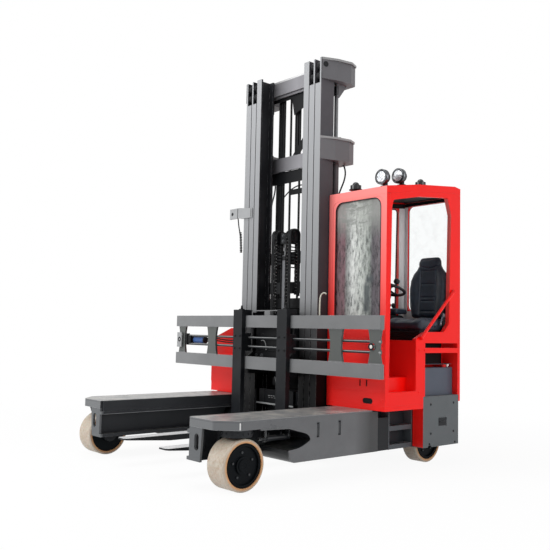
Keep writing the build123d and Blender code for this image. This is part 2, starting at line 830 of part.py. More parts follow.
# roof lamps and domes
with BuildPart() as lamps:
    for x, setback in work_lamps:
        base = roof_height(setback + lamp_depth) + fit_gap
        plane = Plane.XZ.offset(-y_at(setback))
        disc(plane, [(x, base + lamp_foot + lamp_radius)], lamp_radius, -lamp_depth / 2)
        disc(plane, [(x, base + lamp_foot + lamp_radius)], lamp_rear_radius, -lamp_depth)
        width, depth, height = lamp_bracket
        box(
            (x - width / 2, x + width / 2), span((setback + lamp_depth - depth, setback + lamp_depth)),
            (base, base + lamp_foot + height),
        )
write(lamps, "work_lamps")

with BuildPart() as domes:
    for x, setback in roof_domes:
        base = roof_height(setback + dome_radius) + fit_gap
        disc(Plane.XY.offset(base), [(x, y_at(setback))], dome_radius, dome_height)
        with Locations((x, y_at(setback), base + dome_height)):
            Sphere(dome_cap_radius)
write(domes, "roof_domes")

# wheels and steering knuckles: the knuckle hangs from the slewing ring on the wheel's inner side
wheels = (("front_left", 1, front_wheel), ("front_right", -1, front_wheel), ("rear_left", 1, rear_wheel),
          ("rear_right", -1, rear_wheel))
turntable_top_z = arm_top_z - fit_gap
for name, s, place in wheels:
    x, y, half = s * place["x"], y_at(place["setback"]), place["width"] / 2
    axle = (y, wheel_radius)
    with BuildPart() as knuckle:
        disc(Plane.XY.offset(turntable_top_z), [(x, y)], turntable_radius, -(turntable_top_z - knuckle_base_z))
        inner = place["x"] - half - knuckle_arm_gap
        box(
            (s * (inner - knuckle_arm), s * inner), (y - knuckle_arm_half, y + knuckle_arm_half),
            (wheel_radius, knuckle_base_z + overcut),
        )
        disc(Plane.YZ.offset(s * inner), [axle], knuckle_arm_half, -s * knuckle_arm)
        axle_length = knuckle_arm_gap + place["width"] - hub_dish
        disc(Plane.YZ.offset(s * (inner - overcut)), [axle], axle_radius, s * axle_length)
    write(knuckle, f"knuckle_{name}")

    with BuildPart() as tyre:
        with BuildSketch(Plane.XZ.offset(-y)):
            with Locations((x, (wheel_radius - tread_radius) / 2)):
                tread = Rectangle(place["width"], wheel_radius - tread_radius)
            chamfer(tread.vertices().group_by(Axis.Y)[0], tread_chamfer)
        revolve(axis=Axis(origin=(x, y, wheel_radius), direction=(1, 0, 0)))
    write(tyre, f"tyre_{name}")

    face = place["x"] + half - hub_inset
    with BuildPart() as hub:
        hub_width = place["width"] - 2 * hub_inset
        disc(Plane.YZ.offset(s * face), [axle], tread_radius - fit_gap, -s * hub_width, hub_hole)
        disc(Plane.YZ.offset(s * face), [axle], tread_radius - hub_rim, -s * hub_dish, hub_boss, Mode.SUBTRACT)
    write(hub, f"hub_{name}")

# mast rails: channels open inwards, a pair for each stage, with rollers that run in the next stage out
rail_middle = y_at((mast_front + mast_rear) / 2)
for stage, inner, outer, lift, cut in stages:
    with BuildPart() as rails:
        for side, s in sides:
            with BuildSketch(Plane.XY.offset(mast_base_z + lift)):
                with BuildLine():
                    web_face = s * (outer - rail_web)
                    Polyline(
                        (s * inner, y_at(mast_front)), (s * outer, y_at(mast_front)),
                        (s * outer, y_at(mast_rear)), (s * inner, y_at(mast_rear)),
                        (s * inner, y_at(mast_rear - rail_flange)), (web_face, y_at(mast_rear - rail_flange)),
                        (web_face, y_at(mast_front + rail_flange)), (s * inner, y_at(mast_front + rail_flange)),
                        close=True,
                    )
                make_face()
            extrude(amount=mast_top_z - mast_base_z - lift)
            if cut:
                box(
                    (s * (inner - overcut), web_face),
                    span((mast_front - overcut, mast_front + rail_flange + overcut)),
                    (mast_top_z - cutaway, mast_top_z + overcut), Mode.SUBTRACT,
                )
            if stage != "outer":
                disc(
                    Plane.YZ.offset(s * (outer - overcut)), [(rail_middle, height) for height in roller_heights],
                    roller_radius, s * roller_width,
                )
    write(rails, f"mast_{stage}_rails")

# crossmembers in three planes behind the rails, so that each stage slides past the next
layer_pitch = cross_thickness + run_gap
for layer, (stage, inner, outer, lift, cut) in enumerate(reversed(stages)):
    front_face = mast_rear + layer * layer_pitch
    rear_face = front_face + cross_thickness
    with BuildPart() as cross:
        for name, low, depth in crossmembers:
            if name != stage:
                continue
            box((-outer, outer), span((front_face, rear_face)), (low, low + depth))
            for side, s in sides:
                if layer:
                    box((s * inner, s * outer), span((mast_rear, front_face + overcut)), (low, low + depth))
        for side, s in sides:
            if stage == "inner":
                continue
            # bracket that holds the lift cylinder: a cheek past the rail, and a cap plate on its top
            low, high = lower_bracket_z if stage == "outer" else upper_bracket_z
            cheek_x = stages[0][2] + (fit_gap if stage == "outer" else run_gap)
            behind = rear_face + fit_gap
            for overhang, z in ((0, (low, high)), (bracket_overhang, (high, high + bracket_cap))):
                with BuildSketch(Plane.XY.offset(z[0])):
                    with BuildLine():
                        edge = [(s * (cheek_x + x + overhang * bool(x)), y_at(back)) for x, back in bracket_plan]
                        Polyline(
                            *edge, (s * bracket_inner_x, y_at(bracket_plan[-1][1])),
                            (s * bracket_inner_x, y_at(behind)), (s * cheek_x, y_at(behind)), close=True,
                        )
                    make_face()
                extrude(amount=z[1] - z[0])
            if stage == "outer":
                disc(Plane.XY.offset(low - overcut), [(s * lift_x, y_at(lift_setback))], lift_radius + fit_gap,
                     high + bracket_cap - low + 2 * overcut, mode=Mode.SUBTRACT)
        if stage == "outer":
            # reach carriage with the rollers that run in the arms
            carrier_base_z = mast_base_z - fit_gap - carrier_thickness
            for side, s in sides:
                box(
                    (s * (inner - skin), s * carrier_x[1]), span(carrier),
                    (carrier_base_z, carrier_base_z + carrier_thickness),
                )
                box((s * carrier_x[0], s * carrier_x[1]), span(carrier), (carrier_base_z, carrier_top_z))
                track_low, track_high = channel_base_z + flange, ledge_z
                disc(
                    Plane.YZ.offset(s * (carrier_x[1] - overcut)),
                    [(y_at(setback), (track_low + track_high) / 2) for setback in carrier_rollers],
                    (track_high - track_low) / 2 - fit_gap, s * (carrier_roller_x - carrier_x[1] + overcut),
                )
    write(cross, f"mast_{stage}_cross")

# lift cylinders behind the outer rails, and their rods up to the middle stage
lift_places = [(s * lift_x, y_at(lift_setback)) for side, s in sides]
with BuildPart() as tubes:
    lift_foot_z = mast_base_z + fit_gap
    disc(Plane.XY.offset(lift_foot_z), lift_places, lift_radius, lift_top_z - lift_foot_z)
    disc(Plane.XY.offset(lift_foot_z + lift_base), lift_places, lift_bore, lift_top_z, mode=Mode.SUBTRACT)
    disc(Plane.XY.offset(lift_top_z - gland_height), lift_places, lift_radius, gland_height, rod_radius + fit_gap)
write(tubes, "lift_cylinders")

with BuildPart() as rods:
    disc(Plane.XY.offset(rod_base_z), lift_places, rod_radius, upper_bracket_z[0] - fit_gap - rod_base_z)
write(rods, "lift_rods")

# free lift cylinder on the inner stage's foot, and the crosshead with its chain wheels
free_place = [(0, y_at(free_setback))]
foot_long, foot_short, foot_height = free_foot
with BuildPart() as free_cylinder:
    free_y = y_at(free_setback)
    box(
        (-foot_long / 2, foot_long / 2), (free_y - foot_short / 2, free_y + foot_short / 2),
        (free_foot_z, free_foot_z + foot_height),
    )
    disc(Plane.XY.offset(free_foot_z + overcut), free_place, free_radius, free_top_z - free_foot_z - overcut)
    disc(Plane.XY.offset(free_foot_z + foot_height), free_place, free_bore, free_top_z, mode=Mode.SUBTRACT)
    disc(Plane.XY.offset(free_top_z - gland_height), free_place, free_radius, gland_height, free_rod + fit_gap)
write(free_cylinder, "free_lift_cylinder")

sprocket_y = y_at(sprocket_setback)
with BuildPart() as crosshead:
    rod_foot_z = free_foot_z + foot_height + free_rod_room
    disc(Plane.XY.offset(rod_foot_z), free_place, free_rod, sprocket_z - rod_foot_z)
    box(
        (-crosshead_half, crosshead_half), (sprocket_y - crosshead_half, sprocket_y + crosshead_half + fit_gap),
        (sprocket_z - crosshead_z[0], sprocket_z + crosshead_z[1]),
    )
    for side, s in sides:
        near = sprocket_x - sprocket_width / 2
        disc(
            Plane.YZ.offset(s * (crosshead_half - overcut)), [(sprocket_y, sprocket_z)], sprocket_pin,
            s * (near + sprocket_width + sprocket_pin - crosshead_half),
        )
        centre = [(sprocket_y, sprocket_z)]
        disc(Plane.YZ.offset(s * near), centre, sprocket_radius - chain_thickness, s * sprocket_width)
        for rim in (near, near + sprocket_width - sprocket_rim):
            disc(Plane.YZ.offset(s * rim), centre, sprocket_radius + overcut, s * sprocket_rim)
write(crosshead, "crosshead")

# lift chains over the wheels, from the inner carriage to the inner stage
with BuildPart() as chains:
    for side, s in sides:
        x = s * sprocket_x
        outer, inner = sprocket_radius + overcut, sprocket_radius - chain_thickness + overcut
        with BuildSketch(Plane.YZ.offset(x - chain_width / 2)):
            with Locations((sprocket_y, sprocket_z)):
                Circle(outer)
                Circle(inner, mode=Mode.SUBTRACT)
                with Locations((0, -outer)):
                    Rectangle(4 * outer, 2 * outer, mode=Mode.SUBTRACT)
            for way, end_z in ((-1, chain_anchor_z), (1, chain_rear_end_z)):
                with Locations((sprocket_y + way * (outer + inner) / 2, (sprocket_z + end_z) / 2)):
                    Rectangle(chain_thickness, sprocket_z - end_z)
        extrude(amount=chain_width)
write(chains, "lift_chains")

# inner carriage: two side plates with rollers in the inner rails, and two cross plates
with BuildPart() as carriage:
    plate_front, plate_rear = carriage_plate
    for side, s in sides:
        with BuildSketch(Plane.YZ.offset(s * plate_inner_x)):
            with BuildLine():
                Polyline(
                    (y_at(plate_front), carriage_top_z), (y_at(plate_rear), carriage_top_z),
                    (y_at(plate_rear), carriage_base_z), (y_at(carriage_ear), carriage_base_z),
                    (y_at(carriage_ear), carriage_ear_z[0]), (y_at(plate_front), carriage_ear_z[1]), close=True,
                )
            make_face()
            with Locations((y_at(pivot_setback), pivot_z)):
                Circle(pivot_radius + fit_gap, mode=Mode.SUBTRACT)
        extrude(amount=s * (plate_outer_x - plate_inner_x))
        heights = (carriage_base_z + carriage_roller_inset, carriage_top_z - carriage_roller_inset)
        disc(
            Plane.YZ.offset(s * (plate_outer_x - overcut)), [(rail_middle, height) for height in heights],
            roller_radius, s * carriage_roller_width,
        )
        box(
            (s * (sprocket_x - anchor_half), s * (sprocket_x + anchor_half)),
            span((carriage_cross[1] - overcut, carriage_cross[1] + anchor_depth)),
            (chain_anchor_z - anchor_height, chain_anchor_z - fit_gap),
        )
    for heights in carriage_bars:
        box((-plate_inner_x - overcut, plate_inner_x + overcut), span(carriage_cross), heights)
write(carriage, "fork_carriage")

# wide positioner frame: two bars across the truck, joined by waisted plates, tilting on two ears
bar_rear = bar_front + bar_depth
waist_z = (lower_bar[1] + upper_bar[0]) / 2
with BuildPart() as positioner:
    for heights in (upper_bar, lower_bar):
        box((-bar_half, bar_half), span((bar_front, bar_rear)), heights)
    for x0, x1 in bar_plates:
        with BuildSketch(Plane.XZ.offset(-y_at(bar_front + plate_inset))):
            with BuildLine():
                Polyline((x0, lower_bar[0]), (x1, lower_bar[0]), (x1, lower_bar[1]))
                ThreePointArc((x1, lower_bar[1]), (x1 - plate_waist, waist_z), (x1, upper_bar[0]))
                Polyline((x1, upper_bar[0]), (x1, upper_bar[1]), (x0, upper_bar[1]), (x0, upper_bar[0]))
                ThreePointArc((x0, upper_bar[0]), (x0 + plate_waist, waist_z), (x0, lower_bar[1]))
                Line((x0, lower_bar[1]), (x0, lower_bar[0]))
            make_face()
            with Locations((plate_hole_x, waist_z)):
                Circle(plate_hole, mode=Mode.SUBTRACT)
        extrude(amount=-plate_thickness)
    for side, s in sides:
        with BuildSketch(Plane.YZ.offset(s * (plate_outer_x + ear_gap))):
            with Locations((y_at((bar_rear + pivot_setback) / 2), pivot_z)):
                Rectangle(pivot_setback - bar_rear + 2 * overcut, 2 * ear_radius)
            with Locations((y_at(pivot_setback), pivot_z)):
                Circle(ear_radius)
        extrude(amount=s * ear_thickness)
        pin_start = plate_outer_x + ear_gap + overcut
        disc(
            Plane.YZ.offset(s * pin_start), [(y_at(pivot_setback), pivot_z)], pivot_radius,
            -s * (pin_start - plate_inner_x + pin_reach),
        )
write(positioner, "positioner_frame")

# positioner drive: two spindles behind the bars, and their motor on the right hand plate
drive_start = bar_plates[0][0]
drive_y = y_at(spindle_setback)
with BuildPart() as drive:
    drive_length = bar_plates[-1][1] - spindle_end - drive_start
    disc(Plane.YZ.offset(drive_start), [(drive_y, height) for height in spindle_z], spindle_radius, drive_length)
    motor_y = drive_y + spindle_radius + motor_radius - overcut
    disc(
        Plane.YZ.offset(bar_plates[0][1]), [(motor_y, sum(spindle_z) / 2)], motor_radius,
        motor_end_x - bar_plates[0][1],
    )
    box(
        (bar_plates[0][1], bar_plates[0][1] + motor_flange), (drive_y, motor_y),
        (spindle_z[1] - overcut, spindle_z[0] + overcut),
    )
write(drive, "positioner_spindles")

# forks: blade with a tapered tip, shank, a claw over the upper bar and the nut that runs on the spindles
claw_rear = bar_rear + claw_gap + claw_thickness
blade_top_z = fork_base_z + fork_thickness
shank_front = bar_front - fork_thickness
shank_rear = y_at(bar_front - fit_gap)
claw_z = shank_top_z - claw_top
for side, s in sides:
    with BuildPart() as fork:
        with BuildSketch(Plane.YZ.offset(s * fork_x - fork_width / 2)):
            with BuildLine():
                Polyline(
                    (shank_rear, fork_base_z), (shank_rear, claw_z),
                    (y_at(bar_rear + claw_gap), claw_z), (y_at(bar_rear + claw_gap), upper_bar[1] - claw_lap),
                    (y_at(claw_rear), upper_bar[1] - claw_lap), (y_at(claw_rear), shank_top_z),
                    (y_at(shank_front), shank_top_z), (y_at(shank_front), blade_top_z + heel_fillet),
                    (y_at(shank_front - heel_fillet), blade_top_z), (y_at(fork_tip), blade_top_z),
                    (y_at(fork_tip), blade_top_z - tip_thickness), (y_at(fork_tip + tip_taper), fork_base_z),
                    close=True,
                )
            make_face()
        extrude(amount=fork_width)
        heel = fork.edges().filter_by(Axis.X).group_by(Axis.Z)[0].sort_by(Axis.Y)[-1]
        fillet(heel, heel_radius)
        tip = fork.edges().filter_by(Axis.Z).group_by(Axis.Y)[0]
        chamfer(tip, tip_chamfer)
        with BuildSketch(Plane.YZ.offset(s * fork_x - fork_width / 2)):
            with Locations((y_at(bar_front - overcut + nut_depth / 2), sum(spindle_z) / 2)):
                Rectangle(nut_depth, nut_height)
            with Locations(*[(drive_y, height) for height in spindle_z]):
                Circle(spindle_radius + nut_clearance, mode=Mode.SUBTRACT)
        extrude(amount=fork_width)
    write(fork, f"fork_{side}")
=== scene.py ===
from math import cos, pi, radians, sin

import bmesh
import bpy
from mathutils import Matrix, Quaternion, Vector


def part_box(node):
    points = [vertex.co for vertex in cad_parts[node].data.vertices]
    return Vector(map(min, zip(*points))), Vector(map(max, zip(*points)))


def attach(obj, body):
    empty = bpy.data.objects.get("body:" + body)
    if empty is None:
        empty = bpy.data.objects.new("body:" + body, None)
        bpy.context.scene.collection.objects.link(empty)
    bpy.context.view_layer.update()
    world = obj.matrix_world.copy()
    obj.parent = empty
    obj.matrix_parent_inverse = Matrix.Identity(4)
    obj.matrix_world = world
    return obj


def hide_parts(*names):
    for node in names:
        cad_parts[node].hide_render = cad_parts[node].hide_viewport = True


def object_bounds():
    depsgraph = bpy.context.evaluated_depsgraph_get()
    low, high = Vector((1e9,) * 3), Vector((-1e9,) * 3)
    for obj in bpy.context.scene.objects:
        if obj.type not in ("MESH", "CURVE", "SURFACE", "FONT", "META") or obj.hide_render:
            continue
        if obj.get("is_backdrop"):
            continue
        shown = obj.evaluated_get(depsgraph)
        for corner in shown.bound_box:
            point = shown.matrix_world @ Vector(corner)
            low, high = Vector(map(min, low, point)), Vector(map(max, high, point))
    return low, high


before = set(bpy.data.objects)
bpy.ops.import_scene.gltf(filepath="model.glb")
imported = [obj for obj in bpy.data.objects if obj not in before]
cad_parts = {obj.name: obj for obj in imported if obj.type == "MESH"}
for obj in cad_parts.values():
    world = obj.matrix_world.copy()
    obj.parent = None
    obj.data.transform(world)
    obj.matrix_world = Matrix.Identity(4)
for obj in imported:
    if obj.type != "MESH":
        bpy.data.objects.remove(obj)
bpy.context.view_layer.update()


# Camera: stands at about the height of a person's chest, off the left front corner of the truck, and looks
# slightly up at the mast. Its place and lens were solved from the photo's own edges.
camera_data = bpy.data.cameras.new("camera")
camera_data.sensor_width = 36
camera_data.lens = 48.25
camera = bpy.data.objects.new("camera", camera_data)
bpy.context.scene.collection.objects.link(camera)
camera_line = Vector((-0.7486, 0.6587, 0.0757))
camera_roll = radians(1.24)
camera.location = (4.915, -4.237, 1.085)
camera.rotation_mode = "QUATERNION"
camera.rotation_quaternion = camera_line.to_track_quat("-Z", "Y") @ Quaternion((0, 0, 1), camera_roll)
bpy.context.scene.camera = camera
bpy.context.scene.view_settings.view_transform = "Standard"


# Studio: a wide pale floor and soft lamps, as in a works photographer's white room. The world and the floor
# look white to the camera and in reflections, and light the truck at a plain level.
def add_node(tree, kind, inputs=None, **settings):
    """A shader node with its settings, its inputs set or linked by name."""
    node = tree.nodes.new("ShaderNode" + kind)
    for name, value in settings.items():
        setattr(node, name, value)
    for name, value in (inputs or {}).items():
        if isinstance(value, bpy.types.NodeSocket):
            tree.links.new(value, node.inputs[name])
        else:
            node.inputs[name].default_value = value
    return node


def ramped(tree, value, low, high, start=0.0, end=1.0):
    """A value carried from one range over to another, and held at both ends."""
    return add_node(tree, "MapRange", {"Value": value, "From Min": low, "From Max": high, "To Min": start,
                                       "To Max": end}).outputs[0]


def product(tree, *factors):
    """Values multiplied by one another."""
    result = factors[0]
    for factor in factors[1:]:
        result = add_node(tree, "Math", {0: result, 1: factor}, operation="MULTIPLY").outputs[0]
    return result


def mixed(tree, factor, first, second):
    """Two shaders mixed by a factor from 0 to 1."""
    return add_node(tree, "MixShader", {0: factor, 1: first.outputs[0], 2: second.outputs[0]})


def seen_directly(tree):
    """1 for rays from the camera, and for those that mirror it or pass through glass, otherwise 0."""
    ray = add_node(tree, "LightPath").outputs
    direct = ray["Is Camera Ray"]
    for other in ("Is Glossy Ray", "Is Transmission Ray"):
        direct = add_node(tree, "Math", {0: direct, 1: ray[other]}, operation="MAXIMUM").outputs[0]
    return direct


def new_finish(name):
    """An empty material and its tree of nodes."""
    material = bpy.data.materials.new(name)
    material.use_nodes = True
    material.node_tree.nodes.clear()
    return material, material.node_tree


def finished(material, shader):
    """A material closed with the shader of its surface."""
    add_node(material.node_tree, "OutputMaterial", {"Surface": shader.outputs[0]})
    return material


world = bpy.data.worlds.new("white_room")
bpy.context.scene.world = world
world.use_nodes = True
room = world.node_tree
room.nodes.clear()
room_light = add_node(room, "Background", {"Color": (0.95, 0.97, 1, 1), "Strength": 0.38})
room_white = add_node(room, "Background", {"Color": (1, 1, 1, 1), "Strength": 1.0})
room_mix = mixed(room, seen_directly(room), room_light, room_white)
add_node(room, "OutputWorld", {"Surface": room_mix.outputs[0]})

floor_reach, floor_z = 60, -0.0005
floor_corners = [(x * floor_reach, y * floor_reach, floor_z)
                 for x, y in ((-1, -1), (1, -1), (1, 1), (-1, 1))]
floor_mesh = bpy.data.meshes.new("studio_floor")
floor_mesh.from_pydata(floor_corners, [], [(0, 1, 2, 3)])
studio_floor = bpy.data.objects.new("studio_floor", floor_mesh)
bpy.context.scene.collection.objects.link(studio_floor)
# the floor looks a little darker round the truck than far from it
floor_paint, floor_tree = new_finish("floor_white")
floor_place = add_node(floor_tree, "TexCoord").outputs["Object"]
floor_radius = add_node(floor_tree, "VectorMath", {0: floor_place}, operation="LENGTH").outputs["Value"]
floor_share = product(floor_tree, seen_directly(floor_tree),
                      ramped(floor_tree, floor_radius, 2.0, 5.0, 0.93, 1.0))
floor_matt = add_node(floor_tree, "BsdfDiffuse", {"Color": (0.9, 0.9, 0.9, 1)})
floor_bright = add_node(floor_tree, "Emission", {"Color": (1, 1, 1, 1), "Strength": 1.0})
floor_mesh.materials.append(finished(floor_paint, mixed(floor_tree, floor_share, floor_matt, floor_bright)))
studio_floor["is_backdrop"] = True

# lamps, columns: name, place, what it faces, size, power in watts
for lamp_name, place, target, size, power in (
    ("front_softbox", (-2.4, -7.4, 4.6), (0, 0, 1.6), 4.6, 400),
    ("cab_side_softbox", (7.5, 1.5, 3.0), (0, 0.3, 1.2), 4.0, 170),
    ("top_softbox", (-0.5, -1.5, 8.0), (0, 0, 0), 5.0, 260),
):
    lamp_data = bpy.data.lights.new(lamp_name, "AREA")
    lamp_data.shape = "SQUARE"
    lamp_data.size = size
    lamp_data.energy = power
    lamp = bpy.data.objects.new(lamp_name, lamp_data)
    lamp.location = place
    lamp.rotation_mode = "QUATERNION"
    lamp.rotation_quaternion = (Vector(target) - Vector(place)).to_track_quat("-Z", "Y")
    lamp.visible_camera = False
    bpy.context.scene.collection.objects.link(lamp)


# Straddle arms: two welded steel channels that carry the reach rollers, each closed at the front by a slotted
# end plate. They are dark inside the load bay and mid grey on the end plates.
def seen(r, g, b):
    """A colour as the eye reads it, 0 to 255 a channel, in the even steps of light that a shader takes."""
    def light(share):
        return share / 12.92 if share <= 10 / 255 else ((share + 0.055) / 1.055) ** 2.4
    return tuple(light(c / 255) for c in (r, g, b)) + (1,)


def scaled(colour, share):
    """A colour made lighter or darker."""
    return tuple(min(1, c * share) for c in colour[:3]) + (1,)


def tone(tree, factor, *stops):
    """A colour that runs through the given stops, each a place from 0 to 1 and a colour."""
    ramp = add_node(tree, "ValToRGB", {"Fac": factor})
    ramp.color_ramp.elements[0].position, ramp.color_ramp.elements[0].color = stops[0]
    ramp.color_ramp.elements[1].position, ramp.color_ramp.elements[1].color = stops[-1]
    for place, colour in stops[1:-1]:
        ramp.color_ramp.elements.new(place).color = colour
    return ramp.outputs["Color"]


def shade_mix(tree, factor, low, high, blend="MIX"):
    """One colour turning into another, or multiplied by it, by a factor from 0 to 1."""
    return add_node(tree, "MixRGB", {"Fac": factor, "Color1": low, "Color2": high},
                    blend_type=blend).outputs["Color"]


def noise(tree, place, scale, detail, **more):
    """A cloudy pattern from 0 to 1."""
    return add_node(tree, "TexNoise",
                    {"Vector": place, "Scale": scale, "Detail": detail, **more}).outputs["Fac"]


def object_place(tree):
    """Where a point lies on the truck."""
    return add_node(tree, "TexCoord").outputs["Object"]


def split(tree, vector):
    """A place or a direction in its three parts X, Y and Z."""
    return add_node(tree, "SeparateXYZ", {0: vector}).outputs


def facing(tree):
    """The way that a face looks, in its three parts."""
    return split(tree, add_node(tree, "NewGeometry").outputs["Normal"])


def rounded_normal(tree, radius):
    """The surface's direction with its arrises rounded."""
    return add_node(tree, "Bevel", {"Radius": radius}, samples=4).outputs["Normal"]


def bumped(tree, height, strength, distance, normal=None):
    """The surface's direction, roughened by a height."""
    inputs = {"Height": height, "Strength": strength, "Distance": distance}
    if normal is not None:
        inputs["Normal"] = normal
    return add_node(tree, "Bump", inputs).outputs["Normal"]


def between(tree, value, low, high, soft=0.0004):
    """1 where a value lies between two limits, and 0 elsewhere."""
    return product(tree, ramped(tree, value, low - soft, low + soft),
                   ramped(tree, value, high + soft, high - soft))


def rubbed_and_glinting_edges(tree, place, rounded, amount):
    """1 on arrises in patches: where the finish has been knocked off, and where a painted highlight catches
    the edge.
    """
    square = add_node(tree, "NewGeometry").outputs["True Normal"]
    turn = add_node(tree, "VectorMath", {0: rounded, 1: square}, operation="DOT_PRODUCT").outputs["Value"]
    torn = ramped(tree, noise(tree, place, 24.0, 4.0), 0.62 - amount * 0.3, 0.74 - amount * 0.3)
    return product(tree, ramped(tree, turn, 0.985, 0.85), torn)


def paint(name, colour, roughness, uneven=0.12, peel=0.06, soft_edge=0.002, rub_and_glint_colour=None, rub_and_glint_amount=0.6, grit=None,
          coat=0.0, bands=(), dust=0.0, metal=0.0, shine=0.2, fades=(), front_sheen=0.0):
    """Sprayed paint on steel: slightly uneven in colour and gloss, with orange peel, rounded arrises in
    patches of another colour, partly rubbed paint and partly painted highlight, grit where it is non-slip,
    dust on upward faces, bands of another colour, fades along an axis between two shares of the colour, and a
    painted reflection on faces looking ahead, palest at the top."""
    material, tree = new_finish(name)
    place = object_place(tree)
    part = split(tree, place)
    cloud = noise(tree, place, 3.1, 5.0, Roughness=0.6)
    body = tone(tree, cloud, (0.3, scaled(colour, 1 - uneven)), (0.7, scaled(colour, 1 + uneven)))
    for axis, low, high, other in bands:
        size = add_node(tree, "Math", {0: part[axis]}, operation="ABSOLUTE").outputs[0]
        body = shade_mix(tree, between(tree, size, low, high), body, other)
    for axis, low, high, low_share, high_share in fades:
        body = shade_mix(tree, 1.0, body, ramped(tree, part[axis], low, high, low_share, high_share),
                         "MULTIPLY")
    # painted reflection: faces looking ahead turn pale pink, most near the top
    if front_sheen:
        front = ramped(tree, facing(tree)["Y"], -0.5, -0.95)
        height = ramped(tree, part["Z"], 1.05, 2.30, 0.02, front_sheen)
        body = shade_mix(tree, product(tree, front, height), body, seen(255, 205, 198))
    rounded = rounded_normal(tree, soft_edge)
    # arrises in patches of another colour: partly rubbed paint, partly painted highlight
    if rub_and_glint_colour:
        body = shade_mix(tree, rubbed_and_glinting_edges(tree, place, rounded, rub_and_glint_amount), body, rub_and_glint_colour)
    if dust:
        up = ramped(tree, facing(tree)["Z"], 0.6, 1.0)
        lying = ramped(tree, noise(tree, place, 9.0, 8.0, Roughness=0.7), 0.42, 0.68)
        body = shade_mix(tree, product(tree, up, lying, dust), body, seen(176, 172, 164))
    normal = bumped(tree, noise(tree, place, 420.0, 2.0), peel, 0.001, rounded)
    if grit:
        grain = add_node(tree, "TexVoronoi", {"Vector": place, "Scale": grit}).outputs["Distance"]
        normal = bumped(tree, grain, 0.5, 0.0012, normal)
    return finished(material, add_node(tree, "BsdfPrincipled", {
        "Base Color": body, "Roughness": ramped(tree, cloud, 0.0, 1.0, roughness - 0.06, roughness + 0.1),
        "Coat Weight": coat, "Coat Roughness": 0.12, "Metallic": metal, "Specular IOR Level": shine,
        "Normal": normal}))


def dress(material, *nodes):
    """Gives modelled nodes their finish."""
    for node in nodes:
        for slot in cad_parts[node].material_slots:
            slot.material = material


LEFT, BACK, UP = (1, 0, 0), (0, 1, 0), (0, 0, 1)
AHEAD, DOWN = (0, -1, 0), (0, 0, -1)
SIDES = ((1, "left"), (-1, "right"))


def joined(*shapes):
    """Several shapes, each its corners and faces, as one."""
    corners, faces = [], []
    for shape_corners, shape_faces in shapes:
        faces += [tuple(i + len(corners) for i in face) for face in shape_faces]
        corners += list(shape_corners)
    return corners, faces


def slab(outline, axis, start, end):
    """A plate: an outline in the plane across an axis, and its two depths along it."""
    def lift(a, b, c):
        return {"X": (c, a, b), "Y": (a, c, b), "Z": (a, b, c)}[axis]
    count = len(outline)
    corners = [lift(a, b, start) for a, b in outline] + [lift(a, b, end) for a, b in outline]
    sides = [(i, (i + 1) % count, count + (i + 1) % count, count + i) for i in range(count)]
    return corners, [tuple(range(count)), tuple(range(2 * count - 1, count - 1, -1)), *sides]


def block(x, y, z):
    """A bar with square corners, from its two ends along each axis."""
    return slab([(x[0], y[0]), (x[1], y[0]), (x[1], y[1]), (x[0], y[1])], "Z", *z)


def turned(profile, centre, axis, steps=32, ring=False):
    """A solid turned on a lathe: a profile of (distance along the axis, radius) about a centre."""
    axis = Vector(axis).normalized()
    side = axis.orthogonal().normalized()
    other = axis.cross(side)
    corners = []
    for along, radius in profile:
        for step in range(steps):
            turn = 2 * pi * step / steps
            away = side * cos(turn) + other * sin(turn)
            corners.append(tuple(Vector(centre) + axis * along + away * radius))
    faces = []
    for row in range(len(profile) - 1 + ring):
        near, far = row * steps, (row + 1) % len(profile) * steps
        faces += [(near + i, near + (i + 1) % steps, far + (i + 1) % steps, far + i) for i in range(steps)]
    if not ring:
        last = (len(profile) - 1) * steps
        faces += [tuple(range(steps)), tuple(range(last + steps - 1, last - 1, -1))]
    return corners, faces


def turned_ring(profile, centre, axis, steps=32):
    """A ring turned on a lathe: its profile closes on itself."""
    return turned(profile, centre, axis, steps, ring=True)


def rod(start, end, radius, steps=16, ease=0.0008):
    """A round bar between two points, its ends slightly eased."""
    line = Vector(end) - Vector(start)
    long = line.length
    profile = [(0, radius - ease), (ease, radius), (long - ease, radius), (long, radius - ease)]
    return turned(profile, start, line, steps)


def bolt(place, axis, across=0.019, height=0.009, washer=True):
    """A hexagon bolt head on its washer, standing on a face."""
    head = [(0, across * 0.47), (height * 0.85, across * 0.55), (height, across * 0.48)]
    disc = [(0, across * 0.78), (0.0016, across * 0.78), (0.002, across * 0.72)]
    shapes = [turned(head, place, axis, 6)]
    if washer:
        shapes.append(turned(disc, place, axis, 20))
    return joined(*shapes)


def make(name, body, finish, shape, ease=0.0, smooth=40):
    """A piece from a shape, that moves with a body of the truck; its arrises are eased by a small bevel."""
    mesh = bpy.data.meshes.new(name)
    corners, faces = shape
    mesh.from_pydata(corners, [], faces)
    work = bmesh.new()
    work.from_mesh(mesh)
    bmesh.ops.recalc_face_normals(work, faces=work.faces)
    work.to_mesh(mesh)
    work.free()
    mesh.materials.append(finish)
    piece = bpy.data.objects.new(name, mesh)
    bpy.context.scene.collection.objects.link(piece)
    if ease:
        bevel = piece.modifiers.new("eased", "BEVEL")
        bevel.width, bevel.segments, bevel.limit_method = ease, 2, "ANGLE"
    mesh.shade_smooth()
    mesh.set_sharp_from_angle(angle=radians(smooth))
    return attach(piece, body)


def both(shape):
    """A shape and its mirror image on the other side of the truck."""
    corners, faces = shape
    return joined(shape, ([(-x, y, z) for x, y, z in corners], [face[::-1] for face in faces]))


tips_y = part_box("arm_left")[0].y
end_plate_depth = 0.018
arm_grey = paint("arm_grey", seen(44, 46, 49), 0.42, rub_and_glint_colour=seen(112, 114, 116), dust=0.25,
                 bands=[("Y", -tips_y - end_plate_depth, 2.0, seen(98, 100, 102))])
dress(arm_grey, "arm_left", "arm_right")

zinc = paint("zinc", seen(150, 152, 152), 0.36, uneven=0.1, metal=0.6)
